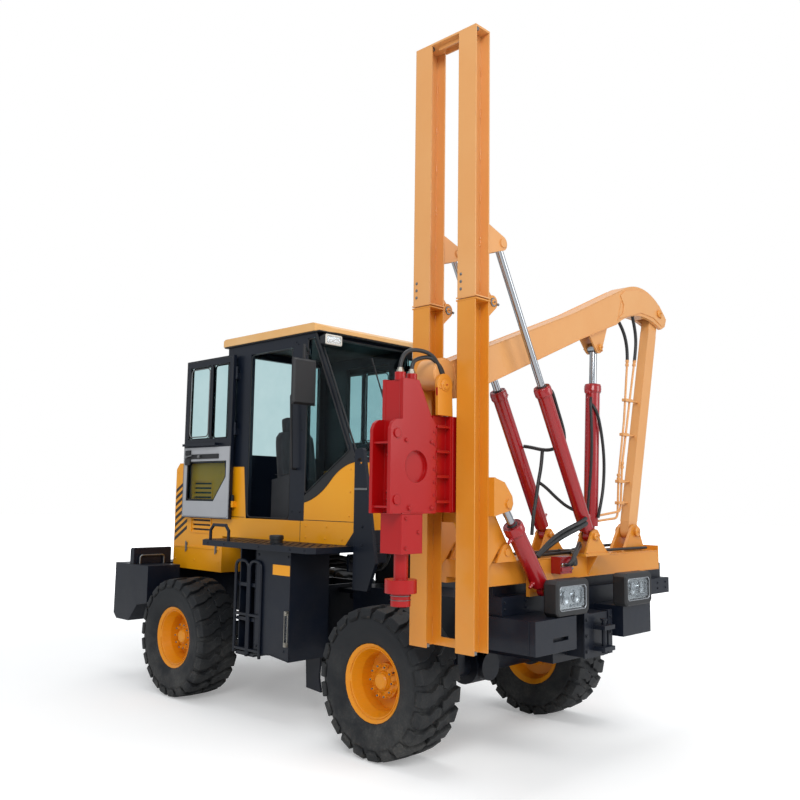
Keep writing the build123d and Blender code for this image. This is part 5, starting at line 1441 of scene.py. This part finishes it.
def hammer_hoses():
    """Two pressure hoses that leave the hammer's ports and bend over to the carriage head."""
    x = MAST_X + 0.040
    for k, (y, top) in enumerate(((-1.745, 2.800), (-1.640, 2.765))):
        route = [(x, y, 2.668), (x, y + 0.004, 2.715), (x + 0.006, y + 0.045, top - 0.022),
                 (x + 0.018, y + 0.130, top),
                 (x + 0.030, -1.480 + 0.02 * k, top - 0.015), (x + 0.042, -1.410 + 0.02 * k, 2.690),
                 (x + 0.046, -1.385, 2.600),
                 (x + 0.040, -1.375, 2.480), (x + 0.030, -1.365, 2.405)]
        pipe("hammer hose %d" % k, route, 0.0135, HOSE_BLACK, "hammer_body", smooth_route=True)


def head_lugs():
    """Orange lugs round the head pin, bolted over the ears of the carriage."""
    lugs = Piece()
    for side in (-1, 1):
        y, z = HEAD_PIN
        outline = [(y + 0.0745 * cos(radians(a)), z + 0.0745 * sin(radians(a))) for a in range(-20, 201, 10)]
        outline += [(-1.4575, 2.391), (-1.3125, 2.391)]
        lugs.slab(outline, "x", *sorted((MAST_X + side * 0.1042, MAST_X + side * 0.0805)))
    lugs.done("carriage head lugs", ARM_ORANGE, "hammer_body", bevel=0.002, slot="arm_orange")
    caps = Piece()
    for side in (-1, 1):
        spot, out = Vector((MAST_X + side * 0.1035, *HEAD_PIN)), Vector((side, 0, 0))
        caps.turned(spot, spot + out, [(0, 0.040), (0.006, 0.040), (0.007, 0.028), (0.013, 0.028)], 32)
        caps.bolt(spot + Vector((0, -0.048, -0.02)), (side, 0, 0), 0.008, 0.007)
    caps.done("carriage head pin caps", ARM_ORANGE, "hammer_body", bevel=0.0008, smooth=True,
              slot="arm_orange")


def mast_ends():
    """Plates and bolts of the splice, roller stops, and the rib under the mast's head plate."""
    ring = Piece()
    for x in COLUMNS_X:
        ring.box(x - 0.085, x + 0.085, -1.302, -1.148, 3.1725, 3.1815)
    ring.done("splice end plates", ARM_PALE, "mast_top", bevel=0.001, slot="arm_orange")
    low = Piece()
    for x in COLUMNS_X:
        low.box(x - 0.085, x + 0.085, -1.302, -1.148, 3.1545, 3.1645)
    low.done("splice lower plates", ARM_ORANGE, "mast_body", bevel=0.001, slot="arm_orange")
    bolts = Piece()
    for x in COLUMNS_X:
        for z in (3.235, 3.285, 3.335):
            bolts.bolt((x - 0.045, -1.300, z), (0, -1, 0), 0.009, 0.006)
    bolts.done("splice bolts", STEEL, "mast_top", bevel=0.0008)
    for name, body, z in (("lower", "mast_body", 0.902), ("upper", "mast_top", 5.018)):
        stops = Piece()
        for x in COLUMNS_X:
            for side in (-1, 1):
                stops.box(*sorted((x + side * 0.006, x + side * 0.072)), -1.288, -1.262, z - 0.010, z + 0.012)
        stops.done("roller stops " + name, STEEL, body, bevel=0.001)
    eye = Piece()
    for y in (-1.262, -1.188):
        eye.slab([(y, 5.0), (y + 0.012, 5.0), (y + 0.012, 5.04), (y, 5.04)], "x", 0.70, 0.89)
    eye.done("mast head rib", ARM_PALE, "mast_top", bevel=0.001, slot="arm_orange")


# ---------------------------------------------------------------- inside the cab

def soft_box(piece, x0, x1, y0, y1, z0, z1, crown, steps=14):
    """A stuffed block: sides rounded and the large faces domed."""
    cx, cy, cz = (x0 + x1) / 2, (y0 + y1) / 2, (z0 + z1) / 2
    hx, hy, hz = (x1 - x0) / 2, (y1 - y0) / 2, (z1 - z0) / 2
    rings = []
    for i in range(steps + 1):
        t = -1 + 2 * i / steps
        pinch = (1 - abs(t) ** 6) ** 0.5 if abs(t) < 1 else 0.0
        grow = 0.80 + 0.20 * pinch
        ring = []
        for k in range(40):
            a = 2 * pi * k / 40
            c, s = cos(a), sin(a)
            u = abs(c) ** 0.35 * (1 if c > 0 else -1)
            v = abs(s) ** 0.35 * (1 if s > 0 else -1)
            ring.append((cx + hx * grow * u, cy + hy * grow * v,
                         cz + hz * t + crown * (1 - u * u) * (1 - v * v) * (1 if t > 0 else -1) * abs(t)))
        rings.append(ring)
    piece.faces(rings)


def seat_trim():
    """The seat's padded cushion, back and head pad over a slide with its side levers."""
    cushion = Piece()
    soft_box(cushion, -2.310, -1.840, -0.238, 0.238, 1.786, 1.893, 0.012)
    pad = cushion.done("seat cushion", CLOTH, "rear_chassis", smooth=True, slot="seat_black")
    back = Piece()
    soft_box(back, -0.055, 0.055, -0.226, 0.226, -0.33, 0.33, 0.0)
    rest = back.done("seat back", CLOTH, "rear_chassis", smooth=True, slot="seat_black")
    rest.rotation_euler = (0, radians(-8), 0)
    rest.location = ORIGIN + Vector((-2.310, 0, 2.166))
    head = Piece()
    soft_box(head, -0.042, 0.042, -0.136, 0.136, -0.080, 0.080, 0.0)
    top = head.done("seat head pad", CLOTH, "rear_chassis", smooth=True, slot="seat_black")
    top.rotation_euler = (0, radians(-8), 0)
    top.location = ORIGIN + Vector((-2.365, 0, 2.566))
    base = Piece()
    base.box(-2.255, -1.905, -0.165, 0.165, 1.520, 1.560)
    for k in range(9):
        z = 1.565 + 0.022 * k
        grow = 0.006 if k % 2 else 0.0
        base.box(-2.245 - grow, -1.915 + grow, -0.155 - grow, 0.155 + grow, z, z + 0.022)
    base.box(-2.285, -1.865, -0.205, 0.205, 1.763, 1.790)
    for y in (-0.225, 0.225):
        base.rod((-1.90, y * 0.9, 1.74), (-1.80, y, 1.755), 0.008, 10)
    base.rod((-2.36, -0.07, 2.46), (-2.35, -0.07, 2.54), 0.008, 10)
    base.rod((-2.36, 0.07, 2.46), (-2.35, 0.07, 2.54), 0.008, 10)
    base.done("seat base", BLACK_TRIM, "rear_chassis", bevel=0.003, replaces=["seat"], slot="seat_black")


def cab_inside():
    """Lever boots, console plates, pedals and dials."""
    knobs, plates, dials = Piece(), Piece(), Piece()
    for side in (-1, 1):
        for x in (-1.890, -1.800):
            foot = Vector((x, side * 0.360, 2.0))
            knobs.turned(foot, foot + Vector((0, 0, 1)),
                         [(0, 0.026), (0.02, 0.024), (0.045, 0.012), (0.06, 0.010)], 20)
        plates.slab([(-2.12, side * 0.42), (-1.93, side * 0.42), (-1.93, side * 0.30), (-2.12, side * 0.30)],
                    "z", 2.058, 2.064)
    for y in (-0.16, -0.05, 0.06, 0.17):
        spot = Vector((-1.165, y, 2.105))
        out = Vector((-0.34, 0, 0.94)).normalized()
        dials.turned(spot, spot + out, [(0, 0.036), (0.008, 0.036), (0.012, 0.031)], 28)
    for y in (-0.15, 0.15):
        plates.slab([(y - 0.05, 1.56), (y + 0.05, 1.56), (y + 0.05, 1.68), (y - 0.05, 1.68)], "x", -1.235,
                    -1.222)
    knobs.done("lever boots", BLACK_TRIM, "rear_chassis", smooth=True)
    plates.done("console plates", DARK_CAB, "rear_chassis", bevel=0.002)
    dials.done("dash dials", MIRROR, "rear_chassis", smooth=True)


dress_nodes()
studio()
camera()
wheels()
hammer_trim()
carriage_trim()
mast_trim()
rams()
post_pipes()
pin_caps()
cab_trim()
door_trim()
hood_trim()
rear_trim()
platform_trim()
steering_hoses()
lamp_trim()
front_trim()
deck_trim()
ram_hoses()
boom_trim()
hammer_hoses()
head_lugs()
mast_ends()
seat_trim()
cab_inside()
